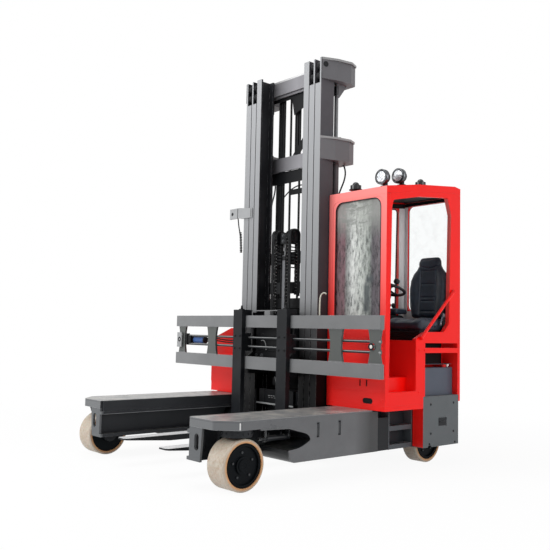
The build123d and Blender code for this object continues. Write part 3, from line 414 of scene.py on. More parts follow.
# skirt along the bay side of each arm, from the channel's lip up to the deck; the lip's edge is rubbed bright
bay_x, deck_side_x, lip_low, lip_high = 0.6172, 0.6425, 0.368, 0.3925
skirt = block((bay_x, deck_side_x), (tips_y + 0.019, 0.217), (lip_high, 0.4785))
make("arm_skirts", "chassis", arm_grey, both(skirt), 0.002)
worn_strip = paint("worn_strip", seen(128, 130, 132), 0.4, uneven=0.5, shine=0.4)
make("lip_edges", "chassis", worn_strip,
     both(block((bay_x - 0.0012, bay_x - 0.0002), (tips_y + 0.019, 0.60), (lip_low, lip_low + 0.004))))


# Decks: thick plates over the arms with a gritty non-slip coat on top, on which long loads rest. The outer
# sides are mid grey with the top plate's weld line, the sides towards the load bay dark.
deck_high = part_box("decks")[1]
deck_top = deck_high.z
deck_grey = paint("deck_grey", seen(112, 113, 114), 0.30, uneven=0.25, grit=230.0,
                  rub_and_glint_colour=seen(205, 205, 205), rub_and_glint_amount=1.3, dust=0.8, soft_edge=0.003, shine=0.5,
                  bands=[("Z", 0.2, deck_top - 0.001, seen(100, 102, 104)),
                         ("X", 0.0, 0.6435, seen(48, 50, 53)),
                         ("Z", deck_top - 0.0125, deck_top - 0.0105, seen(38, 39, 41)),
                         ("Z", 0.2, 0.413, seen(40, 42, 45))])
dress(deck_grey, "decks")
# a weld bead up each deck's front corner, near white as a painted highlight
weld_x, weld_y = deck_high.x - 0.002, tips_y + 0.131
corner_weld = rod((weld_x, weld_y, 0.420), (weld_x, weld_y, 0.466), 0.0042, 10)
weld_highlight = paint("weld_highlight", seen(226, 226, 224), 0.4, uneven=0.05)
make("deck_corner_welds", "chassis", weld_highlight, both(corner_weld))
# lifting plugs let into the deck: distance behind the arm tips and out from the middle
plug_profile = [(0, 0.001), (0, 0.026), (0.0012, 0.026), (0.0022, 0.022), (0.0022, 0.001)]
plug = joined(*[
    turned_ring(plug_profile, (x, tips_y + back, deck_top), UP, 24)
    for x, back in ((0.720, 0.16), (0.960, 0.42), (0.960, 1.16), (0.720, 1.30))
])
make("deck_plugs", "chassis", deck_grey, both(plug))


# Steered wheels: a black cast hub with a tyre of cream polyurethane cast round it. A brown bonding coat shows
# as a ring between the two. The hub is closed by a cap and held by five plated nuts.
def cast_tyre(name, middle_y):
    """Cast polyurethane, cream and slightly waxy, stained brown round the tread where it has run."""
    material, tree = new_finish(name)
    place = object_place(tree)
    part = split(tree, place)
    blot = noise(tree, place, 11.0, 7.0, Roughness=0.65)
    scuff = noise(tree, place, 60.0, 5.0)
    body = tone(tree, blot, (0.25, seen(180, 167, 150)), (0.5, seen(190, 179, 164)),
                (0.75, seen(198, 189, 176)))
    level = add_node(tree, "Math", {0: part["Z"], 1: wheel_radius}, operation="SUBTRACT")
    along = add_node(tree, "Math", {0: part["Y"], 1: middle_y}, operation="SUBTRACT")
    flat = add_node(tree, "CombineXYZ", {"X": level.outputs[0], "Y": along.outputs[0]})
    far = add_node(tree, "VectorMath", {0: flat.outputs[0]}, operation="LENGTH").outputs["Value"]
    run = product(tree, between(tree, far, wheel_radius - 0.002, 1.0, 0.002), ramped(tree, scuff, 0.4, 0.7),
                  0.55)
    body = shade_mix(tree, run, body, seen(158, 128, 98))
    bond = product(tree, between(tree, far, 0.0, tyre_inner + 0.014, 0.008), 0.9)
    body = shade_mix(tree, bond, body, seen(203, 146, 92))
    return finished(material, add_node(tree, "BsdfPrincipled", {
        "Base Color": body, "Roughness": 0.45, "Specular IOR Level": 0.4, "Subsurface Weight": 0.08,
        "Subsurface Scale": 0.01, "Normal": bumped(tree, scuff, 0.15, 0.001, rounded_normal(tree, 0.004))}))


wheel_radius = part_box("tyre_front_left")[1].z / 2
tyre_inner = 0.150
slewing_z, slewing_radius = 0.389, 0.1098
nut_count, nut_circle, stud_count = 5, 0.088, 16
hub_black = paint("hub_black", seen(13, 16, 19), 0.40, uneven=0.15, rub_and_glint_colour=seen(30, 32, 34), shine=0.06)
nut_grey = paint("nut_grey", seen(74, 76, 78), 0.36, uneven=0.2, metal=0.3)
knuckle_black = paint("knuckle_black", seen(30, 32, 35), 0.45, rub_and_glint_colour=seen(90, 92, 94), dust=0.2)
tyre_finish = {}
for end in ("front", "rear"):
    tyre_low, tyre_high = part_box(f"tyre_{end}_left")
    tyre_finish[end] = cast_tyre(f"cast_tyre_{end}", (tyre_low.y + tyre_high.y) / 2)
for corner in ("front_left", "front_right", "rear_left", "rear_right"):
    dress(tyre_finish[corner.split("_")[0]], "tyre_" + corner)
    dress(hub_black, "hub_" + corner)
    dress(knuckle_black, "knuckle_" + corner)
    tyre_low, tyre_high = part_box("tyre_" + corner)
    hub_low, hub_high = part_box("hub_" + corner)
    side = 1 if "left" in corner else -1
    face_x = hub_high.x if side > 0 else hub_low.x
    middle = Vector((face_x, (tyre_low.y + tyre_high.y) / 2, wheel_radius))
    out = Vector((side, 0, 0))
    # rolled rim lip round the dish, the bearing cap and the five nuts on the dish's floor
    lip = turned_ring([(0, 0.129), (0.0035, 0.131), (0.0035, 0.140), (0, 0.142), (-0.004, 0.136)],
                      middle, out, 64)
    cap = turned([(-0.012, 0.044), (0.004, 0.044), (0.0075, 0.039), (0.0075, 0.020), (0.0045, 0.017),
                  (0.0045, 0.002)], middle, out, 40)
    make("hub_trim_" + corner, "wheel_" + corner, hub_black, joined(lip, cap), smooth=35)
    nuts = []
    for step in range(nut_count):
        turn = 2 * pi * step / nut_count + 0.4
        spot = middle + Vector((-side * 0.0138, nut_circle * cos(turn), nut_circle * sin(turn)))
        nuts += [bolt(spot, out, 0.016, 0.008, washer=False), rod(spot, spot + out * 0.012, 0.0040, 12)]
    make("hub_nuts_" + corner, "wheel_" + corner, nut_grey, joined(*nuts))
    # bolt heads round the slewing ring's edge
    ring = Vector(((tyre_low.x + tyre_high.x) / 2, (tyre_low.y + tyre_high.y) / 2, slewing_z))
    studs = []
    for step in range(stud_count):
        turn = 2 * pi * (step + 0.5) / stud_count
        away = Vector((cos(turn), sin(turn), 0))
        studs.append(bolt(ring + away * slewing_radius, away, 0.013, 0.006, washer=False))
    make("slewing_bolts_" + corner, "knuckle_" + corner, knuckle_black, joined(*studs))


# Side panels: folded steel skirts behind the front wheels, sprayed satin grey, with painted shade darkening
# them towards the rear, under the cab. Two upright lashing loops of plated rod stand on each, held in black
# staples.
panel_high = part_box("side_panels")[1]
panel_grey = paint("panel_grey", seen(98, 99, 101), 0.28, rub_and_glint_colour=seen(150, 150, 152), dust=0.2, shine=0.4,
                   bands=[("X", 0.0, panel_high.x - 0.008, seen(34, 36, 39))],
                   # painted shade: darker towards the rear, under the cab
                   fades=[("Y", 0.02, 0.20, 1.0, 0.32)])
dress(panel_grey, "side_panels")
satin_black = paint("satin_black", seen(26, 28, 31), 0.42, rub_and_glint_colour=seen(80, 82, 84))
# outer skin over the panel and the deck's edge, with a rounded arch behind the wheel
arch = [(0.148, 0.4145), (0.571, 0.4145), (0.571, 0.398), (0.759, 0.350), (0.795, 0.304), (0.682, 0.257),
        (0.576, 0.245), (0.576, 0.214)]


def rounded_line(points, reach, steps=5, closed=False):
    """A line with its corners turned into curves, which start a given reach before each corner."""
    eased = []
    for i, point in enumerate(points):
        if not closed and i in (0, len(points) - 1):
            eased.append(point)
            continue
        corner = Vector(point)
        sides = [Vector(points[(i + way) % len(points)]) - corner for way in (-1, 1)]
        start, end = [side.normalized() * min(reach, side.length / 2) for side in sides]
        for step in range(steps + 1):
            t = step / steps
            eased.append(tuple(corner + start * (1 - t) ** 2 + end * t ** 2))
    return eased


skin_outline = rounded_line(arch, 0.045) + [
    (0.592, 0.170), (0.634, 0.1565), (1.523, 0.1565), (1.523, 0.4145), (1.523, 0.4675), (0.148, 0.4675)]
skin_x = panel_high.x + 0.0017
skin = slab([(tips_y + back, z) for back, z in skin_outline], "X", panel_high.x + 0.0002, skin_x)
make("side_skins", "chassis", panel_grey, both(skin))
# the staples' black also stands in for the shade inside the slots they cover
staples, loops = [], []
for setback in (0.860, 1.087):
    y = tips_y + setback
    for z in (0.319, 0.414):
        staples += [block((skin_x, skin_x + 0.004), (y - 0.012, y + 0.011), (z, z + 0.011)),
                    rod((skin_x, y - 0.004, z + 0.0055), (skin_x + 0.008, y - 0.004, z + 0.0055), 0.005, 10)]
    for outwards, back, radius, steps in ((0.003, 0.007, 0.0030, 10), (0.002, -0.006, 0.0020, 8)):
        x = skin_x + outwards
        loops.append(rod((x, y + back, 0.322), (x, y + back, 0.424), radius, steps))
make("lashing_staples", "chassis", satin_black, both(joined(*staples)))
make("lashing_loops", "chassis", nut_grey, both(joined(*loops)))
# dark plate between each panel and the ladder, painted shade in the recess under the cab
recess_shades = block((1.0300, 1.0410), (panel_high.y - 0.0004, panel_high.y + 0.231), (0.1575, 0.4145))
make("panel_recess_shades", "chassis", satin_black, both(recess_shades))


# Steering cylinders: a black hydraulic cylinder under each deck turns the front wheel behind it by its rod.
cylinder_x, cylinder_z = 0.880, 0.318
glands = [turned([(0, 0.0215), (0.004, 0.0245), (long - 0.004, 0.0245), (long, 0.0215)],
                 (cylinder_x, tips_y + back, cylinder_z), BACK, 24)
          for back, long in ((0.474, 0.024), (0.670, 0.022))]
ports = [rod((cylinder_x, tips_y + back, cylinder_z + 0.018),
             (cylinder_x, tips_y + back, cylinder_z + 0.040), 0.008, 14)
         for back in (0.52, 0.64)]
make("steering_glands", "chassis", satin_black, both(joined(*glands, *ports)))


# Sills, rear frame and step ladder: dark structural steel between the skirts and the rear bumper. The two
# treads of the ladder are ribbed plates in a lighter grey.
frame_dark = paint("frame_dark", seen(42, 45, 49), 0.45, rub_and_glint_colour=seen(96, 98, 100), dust=0.2)
dress(frame_dark, "sills", "rear_frame")
ladder_grey = paint("ladder_grey", seen(78, 82, 86), 0.45, rub_and_glint_colour=seen(150, 150, 152), dust=0.3)
dress(ladder_grey, "step_ladder")
ladder_low, ladder_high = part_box("step_ladder")
tread_rows = []
for top in (0.193, 0.340):
    for step in range(9):
        y = ladder_low.y + 0.030 + step * 0.030
        tread_rows.append(block((ladder_low.x + 0.008, ladder_high.x - 0.006), (y - 0.005, y + 0.005),
                                (top, top + 0.003)))
make("tread_ribs", "chassis", ladder_grey, joined(*tread_rows), 0.001)


# Cab shell: folded and welded sheet steel, sprayed gloss red inside and out. The roof, the floor pan and the
# seat pedestal are parts of the one weldment; the front panel bolts on.
# the faces looking ahead carry a painted reflection, pale pink and strongest near the roof; the pink arrises
# are partly painted highlight
cab_red = paint("cab_red", seen(252, 12, 4), 0.30, uneven=0.03, peel=0.03, rub_and_glint_colour=seen(255, 90, 80),
                rub_and_glint_amount=0.1, shine=0.25, front_sheen=0.42)
dress(cab_red, "cab_floor", "seat_pedestal", "cab_front", "cab_door_side", "cab_mast_side", "cab_rear",
      "cab_roof", "battery_housing", "battery_lid", "pump_housing")
front_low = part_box("cab_front")[0]
door_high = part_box("cab_door_side")[1]


def frame_outline(low, high, radius, steps=6):
    """A rectangle with rounded corners, between two corners in a plane."""
    points = []
    for cx, cz, start in ((high[0] - radius, high[1] - radius, 0), (low[0] + radius, high[1] - radius, 90),
                          (low[0] + radius, low[1] + radius, 180), (high[0] - radius, low[1] + radius, 270)):
        for step in range(steps + 1):
            turn = radians(start + 90 * step / steps)
            points.append((cx + radius * cos(turn), cz + radius * sin(turn)))
    return points


def bead(points, section, flat_axis):
    """A profile, (outwards, along the axis), run round a closed line that lies across an axis."""
    index = {"X": 0, "Y": 1, "Z": 2}[flat_axis]
    across = Vector((0, 0, 0))
    across[index] = 1
    count, corners, faces = len(points), [], []
    for i, point in enumerate(points):
        before, after = Vector(points[i - 1]), Vector(points[(i + 1) % count])
        run = (after - before).normalized()
        outward = run.cross(across)
        corners += [tuple(Vector(point) + outward * a + across * b) for a, b in section]
    size = len(section)
    for i in range(count):
        for j in range(size):
            k, other = (j + 1) % size, (i + 1) % count * size
            faces.append((i * size + j, i * size + k, other + k, other + j))
    return corners, faces


# black linings that stand in for shade: under the roof, over the windows, in the recess of the equipment box
# and behind the vent slots
shade_lining = paint("cab_shade_lining", seen(20, 19, 20), 0.7, uneven=0.08, grit=500.0)
# profile of the roof's underside: distance behind the arm tips, height
roof_line = [(1.524, 2.2035), (1.891, 2.2655), (2.418, 2.3205), (2.4505, 2.3185)]
cavity_y = (tips_y + 1.998, tips_y + 2.430)
under_roof = [(tips_y + back, z) for back, z in roof_line]
shade_linings = [
    slab(under_roof + [(y, z - 0.012) for y, z in under_roof[::-1]], "X", 0.5565, 1.1075),
    block((0.5565, 1.1075), (1.2085, 1.2143), (2.272, 2.300)),
    slab([(0.300, 2.155), (1.205, 2.258), (1.205, 2.300), (0.640, 2.245), (0.300, 2.185)], "X", 0.5545,
         0.5585),
    block((0.9856, 0.9886), cavity_y, (0.833, 1.010)),
]
make("cab_shade_linings", "chassis", shade_lining, joined(*shade_linings), 0.001)
# dark blanks just behind the front panel's slots, painted shade inside them
slot_ends = []
for x, z, long_x, long_z in ((0.888, 0.685, 0.0, 0.020), (0.958, 0.687, 0.0, 0.020),
                             (0.970, 0.547, 0.0305, 0.0)):
    round_end = 0.0068 if long_z else 0.0218
    outline = []
    for turn in range(24):
        along, up = cos(2 * pi * (turn + 0.5) / 24), sin(2 * pi * (turn + 0.5) / 24)
        outline.append((x + round_end * along + (long_x if along > 0 else -long_x),
                        z + round_end * up + (long_z if up > 0 else -long_z)))
    slot_ends.append(slab(outline, "Y", front_low.y + 0.003, front_low.y + 0.006))
make("slot_blanks", "chassis", shade_lining, joined(*slot_ends))
pillar_pale = paint("pillar_pale", seen(238, 238, 238), 0.5, uneven=0.02)
pillar = joined(block((0.5545, 0.5570), (1.128, 1.2140), (1.05, 2.262)),
                block((0.5575, 0.5895), (1.2110, 1.2143), (1.05, 2.268)),
                block((0.5895, 1.1000), (1.2110, 1.2143), (1.04, 1.294)))
make("pillar_cover", "chassis", pillar_pale, pillar, 0.001)
cover_front_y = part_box("wheel_covers")[0].y
cover_front = block((1.0440, 1.1495), (cover_front_y - 0.0018, cover_front_y - 0.0003), (0.160, 0.5155))
make("cover_front_plates", "chassis", cab_red, both(cover_front))
# bolts of the front panel and of the doorway's side
panel_bolts = [bolt((x, front_low.y, z), AHEAD, 0.013, 0.006)
               for x, z in ((0.545, 0.560), (1.120, 0.560), (0.545, 0.960), (1.120, 0.960))]
panel_bolts += [bolt((door_high.x, tips_y + back, z), LEFT, 0.012, 0.005)
                for back, z in ((1.905, 0.610), (2.452, 0.950), (1.978, 0.951), (1.905, 0.950))]
make("cab_bolts", "chassis", cab_red, joined(*panel_bolts))
# lap joints over and under the front panel's middle
lap = joined(block((0.514, 1.150), (front_low.y - 0.002, front_low.y), (0.996, 1.000)),
             block((0.530, 1.134), (front_low.y - 0.0025, front_low.y), (0.618, 0.6215)))
make("front_lap_joints", "chassis", cab_red, lap, 0.0006)


# Windscreen and side glass: laminated sheets held in black rubber seals. The windscreen carries a painted
# reflection of a yard, smeared in upright pale and dark patches; the glass of the mast side and of the rear
# has been left clean.
def reflection_pane(name, dark_at):
    """Glass with a painted reflection in upright pale and dark patches, darkest over the controls that stand
    behind it.
    """
    material, tree = new_finish(name)
    place = object_place(tree)
    part = split(tree, place)
    across = ramped(tree, part["X"], 0.58, 1.10)
    upright = add_node(tree, "Mapping", {"Vector": place, "Scale": (44.0, 44.0, 15.0)}).outputs[0]
    patches = noise(tree, upright, 1.0, 7.0, Roughness=0.72)
    level = add_node(tree, "Mapping", {"Vector": place, "Scale": (9.0, 9.0, 30.0)}).outputs[0]
    streaks = noise(tree, level, 1.0, 4.0, Distortion=0.6)
    base = tone(tree, across, (0.0, seen(122, 104, 108)), (0.20, seen(132, 94, 102)),
                (0.25, seen(150, 150, 148)), (0.38, seen(232, 234, 230)), (0.55, seen(216, 220, 214)),
                (0.74, seen(158, 164, 158)), (0.79, seen(98, 92, 98)), (1.0, seen(124, 112, 118)))
    mottle = tone(tree, patches, (0.38, seen(96, 98, 100)), (0.49, seen(214, 214, 214)),
                  (0.60, seen(255, 255, 255)))
    painted_reflection = shade_mix(tree, 0.85, base, mottle, "MULTIPLY")
    top = ramped(tree, part["Z"], 1.85, 2.05)
    dark = ramped(tree, streaks, 0.50, 0.60)
    painted_reflection = shade_mix(tree, product(tree, top, dark, 0.9), painted_reflection, seen(70, 76, 74))
    painted_reflection = shade_mix(tree, product(tree, top, 0.6), painted_reflection, seen(176, 178, 172))
    for x_low, x_high, z_low, z_high in dark_at:
        shape = product(tree, between(tree, part["X"], x_low, x_high, 0.012),
                        between(tree, part["Z"], z_low, z_high, 0.02))
        painted_reflection = shade_mix(tree, product(tree, shape, 0.85), painted_reflection, seen(66, 72, 76))
    view = add_node(tree, "BsdfTransparent", {"Color": (0.85, 0.88, 0.88, 1)})
    sheet = add_node(tree, "BsdfPrincipled",
                     {"Base Color": painted_reflection, "Roughness": 0.16, "Specular IOR Level": 0.3})
    return finished(material, mixed(tree, 0.86, view, sheet))


def clean_pane(name):
    """Clean glass: nearly clear, faintly tinted, with a trace of dust."""
    material, tree = new_finish(name)
    trace = ramped(tree, noise(tree, object_place(tree), 14.0, 6.0), 0.45, 0.8, 0.01, 0.06)
    view = add_node(tree, "BsdfTransparent", {"Color": (0.985, 0.995, 0.995, 1)})
    sheet = add_node(tree, "BsdfPrincipled", {"Base Color": (0.8, 0.83, 0.84, 1), "Roughness": 0.05})
    return finished(material, mixed(tree, trace, view, sheet))


rubber = paint("seal_rubber", seen(22, 23, 25), 0.6, uneven=0.05, soft_edge=0.001)
dress(reflection_pane("glass_painted_reflection", [(0.906, 0.966, 1.25, 1.48), (0.925, 1.005, 1.49, 1.545)]), "windscreen")
dress(clean_pane("clean_glass"), "cab_windows")
screen_low, screen_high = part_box("windscreen")
glass_low, glass_high = (0.594, 1.175), (1.086, 2.172)
inner_ring = frame_outline(glass_low, glass_high, 0.070)
outer_ring = frame_outline((screen_low.x + 0.001, screen_low.z + 0.001),
                           (screen_high.x - 0.001, screen_high.z - 0.001), 0.055)
count = len(inner_ring)
ring_corners = [(x, front_low.y + depth, z) for depth in (0.0006, 0.0100)
                for ring in (inner_ring, outer_ring)
                for x, z in ring]
ring_faces = []
for i in range(count):
    k = (i + 1) % count
    ring_faces += [(i, k, count + k, count + i),
                   (2 * count + i, 3 * count + i, 3 * count + k, 2 * count + k),
                   (i, 2 * count + i, 2 * count + k, k)]
make("windscreen_frame", "chassis", cab_red, (ring_corners, ring_faces), smooth=20)
seal_line = [(x, front_low.y + 0.002, z) for x, z in inner_ring]
seal_section = [(-0.005, -0.003), (-0.006, 0.006), (0.001, 0.006), (0.003, -0.001), (0.0, -0.004)]
make("windscreen_seal", "chassis", rubber, bead(seal_line, seal_section, "Y"), smooth=50)
# seals of the windows on the mast side and in the rear, rounded like their openings
mast_side_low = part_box("cab_mast_side")[0]
side_opening = [(1.560, 1.120), (2.360, 1.297), (2.380, 2.250), (1.892, 2.200), (1.575, 2.140)]
side_outline = rounded_line([(tips_y + back, z) for back, z in side_opening], 0.044, closed=True)
make("mast_side_seal", "chassis", rubber,
     bead([(mast_side_low.x + 0.009, y, z) for y, z in side_outline],
          [(-0.010, 0.003), (-0.010, -0.004), (0.001, -0.005), (0.001, 0.003)], "X"), smooth=50)
rear_low, rear_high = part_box("cab_rear")
rear_outline = frame_outline((rear_low.x + 0.075, 1.297), (rear_high.x - 0.075, 2.270), 0.05)
rear_y = rear_low.y + 0.020
make("rear_seal", "chassis", rubber,
     bead([(x, rear_y, z) for x, z in rear_outline],
          [(-0.010, 0.004), (-0.010, -0.002), (0.001, -0.003), (0.001, 0.004)], "Y"), smooth=50)
# folded edge round the doorway
door_opening = [(1.524, 0.620), (1.864, 0.620), (1.864, 1.042), (1.987, 1.100), (2.241, 1.104),
                (2.318, 1.180), (2.342, 2.120), (2.290, 2.268), (1.892, 2.226), (1.566, 2.158),
                (1.545, 2.100)]
door_outline = rounded_line([(tips_y + back, z) for back, z in door_opening], 0.016, 3, closed=True)
door_line = [(door_high.x - 0.008, y, z) for y, z in door_outline]
door_section = [(-0.003, 0.006), (-0.003, -0.010), (0.0015, -0.010), (0.0015, 0.006)]
make("doorway_trim", "chassis", cab_red, bead(door_line, door_section, "X"), smooth=50)


# Seat: a suspension base with a moulded bucket cushion and backrest in blue-black leather-grained cover. The
# soft parts are stuffed forms with sewn channels; the belt's buckle stands beside them.
def seat_cover(name, colour):
    """Leather-grained cover: fine creased grain, soft folds and a soft sheen."""
    material, tree = new_finish(name)
    place = object_place(tree)
    grain = add_node(tree, "TexVoronoi", {"Vector": place, "Scale": 340.0}, feature="DISTANCE_TO_EDGE")
    crease = noise(tree, place, 13.0, 6.0, Distortion=0.8)
    body = tone(tree, crease, (0.3, scaled(colour, 0.72)), (0.72, scaled(colour, 1.35)))
    pores = ramped(tree, grain.outputs["Distance"], 0.0, 0.12)
    folds = bumped(tree, crease, 0.35, 0.004, bumped(tree, pores, 0.25, 0.0006))
    return finished(material, add_node(tree, "BsdfPrincipled", {
        "Base Color": body, "Roughness": 0.46, "Sheen Weight": 0.15, "Sheen Roughness": 0.4,
        "Normal": folds}))


def stuffed(name, body, finish, shape, pressure=4.0, bulge=0.011, voxel=0.006):
    """A stuffed piece: the shape as one skin, blown up by a cloth simulation to a greatest bulge."""
    piece = make(name, body, finish, shape, smooth=180)
    piece.parent = None
    piece.matrix_world = Matrix.Identity(4)
    for other in bpy.context.selected_objects:
        other.select_set(False)
    bpy.context.view_layer.objects.active = piece
    piece.select_set(True)
    remesh = piece.modifiers.new("one_skin", "REMESH")
    remesh.mode, remesh.voxel_size = "VOXEL", voxel
    bpy.ops.object.modifier_apply(modifier="one_skin")
    relax = piece.modifiers.new("relaxed", "SMOOTH")
    relax.factor, relax.iterations = 0.5, 8
    bpy.ops.object.modifier_apply(modifier="relaxed")
    start = [vertex.co.copy() for vertex in piece.data.vertices]
    cloth = piece.modifiers.new("stuffing", "CLOTH")
    cloth.settings.use_pressure = True
    cloth.settings.uniform_pressure_force = pressure
    cloth.settings.effector_weights.gravity = 0
    cloth.settings.quality = 5
    cloth.collision_settings.use_collision = False
    first, last = 1, 20
    cloth.point_cache.frame_start, cloth.point_cache.frame_end = first, last
    for moment in range(first, last + 1):
        bpy.context.scene.frame_set(moment)
    bpy.ops.object.modifier_apply(modifier="stuffing")
    bpy.context.scene.frame_set(first)
    for vertex, rest in zip(piece.data.vertices, start):
        move = vertex.co - rest
        if move.length > bulge:
            vertex.co = rest + move.normalized() * bulge
    return piece


seat_navy = seat_cover("seat_navy", seen(38, 51, 65))
seat_x = 0.880
cushion_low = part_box("seat_cushion")[0]
back_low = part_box("seat_backrest")[0]


def lofted(rows):
    """A closed skin through rows of points, each row a ring."""
    size = len(rows[0])
    corners = [point for row in rows for point in row]
    faces = [(r * size + i, r * size + (i + 1) % size, (r + 1) * size + (i + 1) % size, (r + 1) * size + i)
             for r in range(len(rows) - 1) for i in range(size)]
    last = (len(rows) - 1) * size
    return corners, faces + [tuple(range(size)), tuple(range(last + size - 1, last - 1, -1))]


# share of the half width, how far it stands proud of the middle of the face
bucket = ((-1.0, 0.0), (-0.96, 0.75), (-0.80, 1.0), (-0.62, 0.75), (-0.45, 0.15), (-0.2, 0.0), (0.2, 0.0),
          (0.45, 0.15), (0.62, 0.75), (0.80, 1.0), (0.96, 0.75), (1.0, 0.0))
# backrest, columns: height above the seat's foot, half width, bolster height, front of the middle, rear
back_rows = []
for z, half, bolster, front, rear in (
    (1.222, 0.160, 0.012, 0.034, 0.090), (1.240, 0.178, 0.022, 0.026, 0.090),
    (1.330, 0.200, 0.030, 0.032, 0.090), (1.420, 0.212, 0.034, 0.040, 0.090),
    (1.500, 0.215, 0.036, 0.046, 0.090), (1.570, 0.210, 0.028, 0.048, 0.090),
    (1.630, 0.186, 0.014, 0.050, 0.090), (1.668, 0.150, 0.006, 0.052, 0.090),
    (1.700, 0.130, 0.002, 0.050, 0.090), (1.745, 0.122, 0.001, 0.050, 0.088),
    (1.776, 0.104, 0.000, 0.056, 0.084), (1.785, 0.086, 0.000, 0.062, 0.080),
):
    face = [(seat_x + share * half, back_low.y + front - proud * bolster, z) for share, proud in bucket]
    back = [(seat_x + share * half, back_low.y + rear - 0.01 * share * share, z)
            for share in (0.97, 0.5, 0, -0.5, -0.97)]
    back_rows.append(face + back)
backrest = stuffed("backrest_pad", "chassis", seat_navy, lofted(back_rows))
# cushion, columns: place along the seat, half width, bolster height, top of the middle, underside
cushion_rows = []
for back, half, bolster, top, under in (
    (0.012, 0.170, 0.000, 0.052, 0.022), (0.030, 0.190, 0.004, 0.066, 0.010),
    (0.080, 0.203, 0.010, 0.072, 0.008), (0.180, 0.205, 0.014, 0.068, 0.008),
    (0.270, 0.205, 0.016, 0.064, 0.008), (0.330, 0.200, 0.014, 0.064, 0.008),
    (0.352, 0.190, 0.006, 0.058, 0.014),
):
    y = cushion_low.y + back
    face = [(seat_x + share * half, y, cushion_low.z + top + 0.014 + proud * (bolster + 0.006))
            for share, proud in bucket]
    foot = [(seat_x + share * half, y, cushion_low.z + under) for share in (0.98, 0.5, 0, -0.5, -0.98)]
    cushion_rows.append(face + foot)
cushion = stuffed("cushion_pad", "chassis", seat_navy, lofted(cushion_rows))


def sew(piece, run, depth, width, outward, where):
    """Draws sewn channels into a stuffed piece: run gives a vertex's distance from the nearest seam."""
    for vertex in piece.data.vertices:
        if vertex.normal.dot(outward) < 0.25 or not where(vertex.co):
            continue
        away = run(vertex.co)
        if away < width:
            vertex.co -= outward * depth * (1 - (away / width) ** 2) ** 2


def finer(piece):
    """One round of subdivision, kept."""
    bpy.context.view_layer.objects.active = piece
    rounds = piece.modifiers.new("finer", "SUBSURF")
    rounds.levels = rounds.render_levels = 1
    bpy.ops.object.modifier_apply(modifier="finer")


for piece in (backrest, cushion):
    finer(piece)
    piece.select_set(False)
panel_half = 0.083
back_seams = (1.290, 1.382, 1.413, 1.533, 1.655)
sew(backrest, lambda p: min(abs(p.z - z) for z in back_seams), 0.007, 0.012, Vector(AHEAD),
    lambda p: abs(p.x - seat_x) < panel_half)
sew(backrest, lambda p: abs(abs(p.x - seat_x) - panel_half), 0.008, 0.012, Vector(AHEAD),
    lambda p: 1.25 < p.z < 1.66)
sew(backrest, lambda p: abs(p.z - 1.672 - 0.25 * abs(p.x - seat_x)), 0.007, 0.012, Vector(AHEAD),
    lambda p: True)
sew(cushion, lambda p: min(abs(p.y - cushion_low.y - back) for back in (0.11, 0.20, 0.29)), 0.006, 0.012,
    Vector(UP), lambda p: abs(p.x - seat_x) < panel_half)
sew(cushion, lambda p: abs(abs(p.x - seat_x) - panel_half), 0.007, 0.012, Vector(UP),
    lambda p: cushion_low.y + 0.06 < p.y)
for piece, node in ((backrest, "seat_backrest"), (cushion, "seat_cushion")):
    piece.data.shade_smooth()
    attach(piece, "chassis")
    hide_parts(node)
moulded_black = paint("moulded_black", seen(29, 31, 34), 0.52, uneven=0.06, grit=520.0, soft_edge=0.0015)
dress(moulded_black, "seat_base", "control_console")
# rubber bellows over the suspension, and the moulded shell behind the backrest
base_low, base_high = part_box("seat_base")
folds = []
for step in range(4):
    z = base_low.z + 0.012 + step * 0.018
    outline = frame_outline((base_low.x - 0.006, base_low.y - 0.006),
                            (base_high.x + 0.006, base_high.y + 0.006), 0.03)
    folds.append(slab(outline, "Z", z, z + 0.008))
make("suspension_bellows", "chassis", rubber, joined(*folds), 0.003)
shell = [[(seat_x + share * half, back_low.y + front, z) for share in (-1, -0.6, 0, 0.6, 1)]
         + [(seat_x + share * half, back_low.y + 0.0955 - 0.004 * share * share, z)
            for share in (1, 0.6, 0, -0.6, -1)]
         for z, half, front in ((1.225, 0.150, 0.080), (1.35, 0.186, 0.084), (1.5, 0.196, 0.084),
                                (1.6, 0.178, 0.086), (1.68, 0.110, 0.086))]
make("backrest_shell", "chassis", moulded_black, lofted(shell), 0.004)
# belt: its reel and grey webbing beside the seat, black stalks with a bright tongue, and an armrest pad
belt_y = back_low.y - 0.04
reel = joined(
    block((1.096, 1.108), (belt_y - 0.012, belt_y + 0.012), (1.120, 1.236)),
    block((1.094, 1.108), (belt_y + 0.030, belt_y + 0.085), (1.105, 1.185)),
    block((0.640, 0.662), (belt_y - 0.028, belt_y + 0.028), (1.130, 1.210)),
)
make("belt_stalks", "chassis", moulded_black, reel, 0.004)
webbing = paint("webbing", seen(92, 98, 108), 0.7, uneven=0.1, grit=600.0)
upper_strap = [(belt_y - 0.022, 1.236), (belt_y + 0.026, 1.228), (belt_y + 0.032, 1.256),
               (belt_y - 0.014, 1.272)]
lower_strap = [(belt_y - 0.06, 1.165), (belt_y - 0.036, 1.160), (belt_y - 0.012, 1.236),
               (belt_y - 0.030, 1.240)]
straps = joined(slab(upper_strap, "X", 1.098, 1.107), slab(lower_strap, "X", 1.100, 1.104))
make("belt_webbing", "chassis", webbing, straps, 0.001)
make("belt_tongue", "chassis", zinc, joined(
    turned([(0, 0.009), (0.006, 0.009), (0.008, 0.006)], (1.1045, belt_y - 0.048, 1.178), LEFT, 18),
    block((1.106, 1.1085), (belt_y - 0.010, belt_y + 0.012), (1.242, 1.262))), 0.001)
arm_low, arm_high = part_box("control_console")
make("console_armrest", "chassis", seat_navy,
     block((arm_low.x + 0.004, arm_high.x + 0.030), (arm_high.y - 0.150, arm_high.y + 0.010),
           (1.262, 1.312)), 0.014)


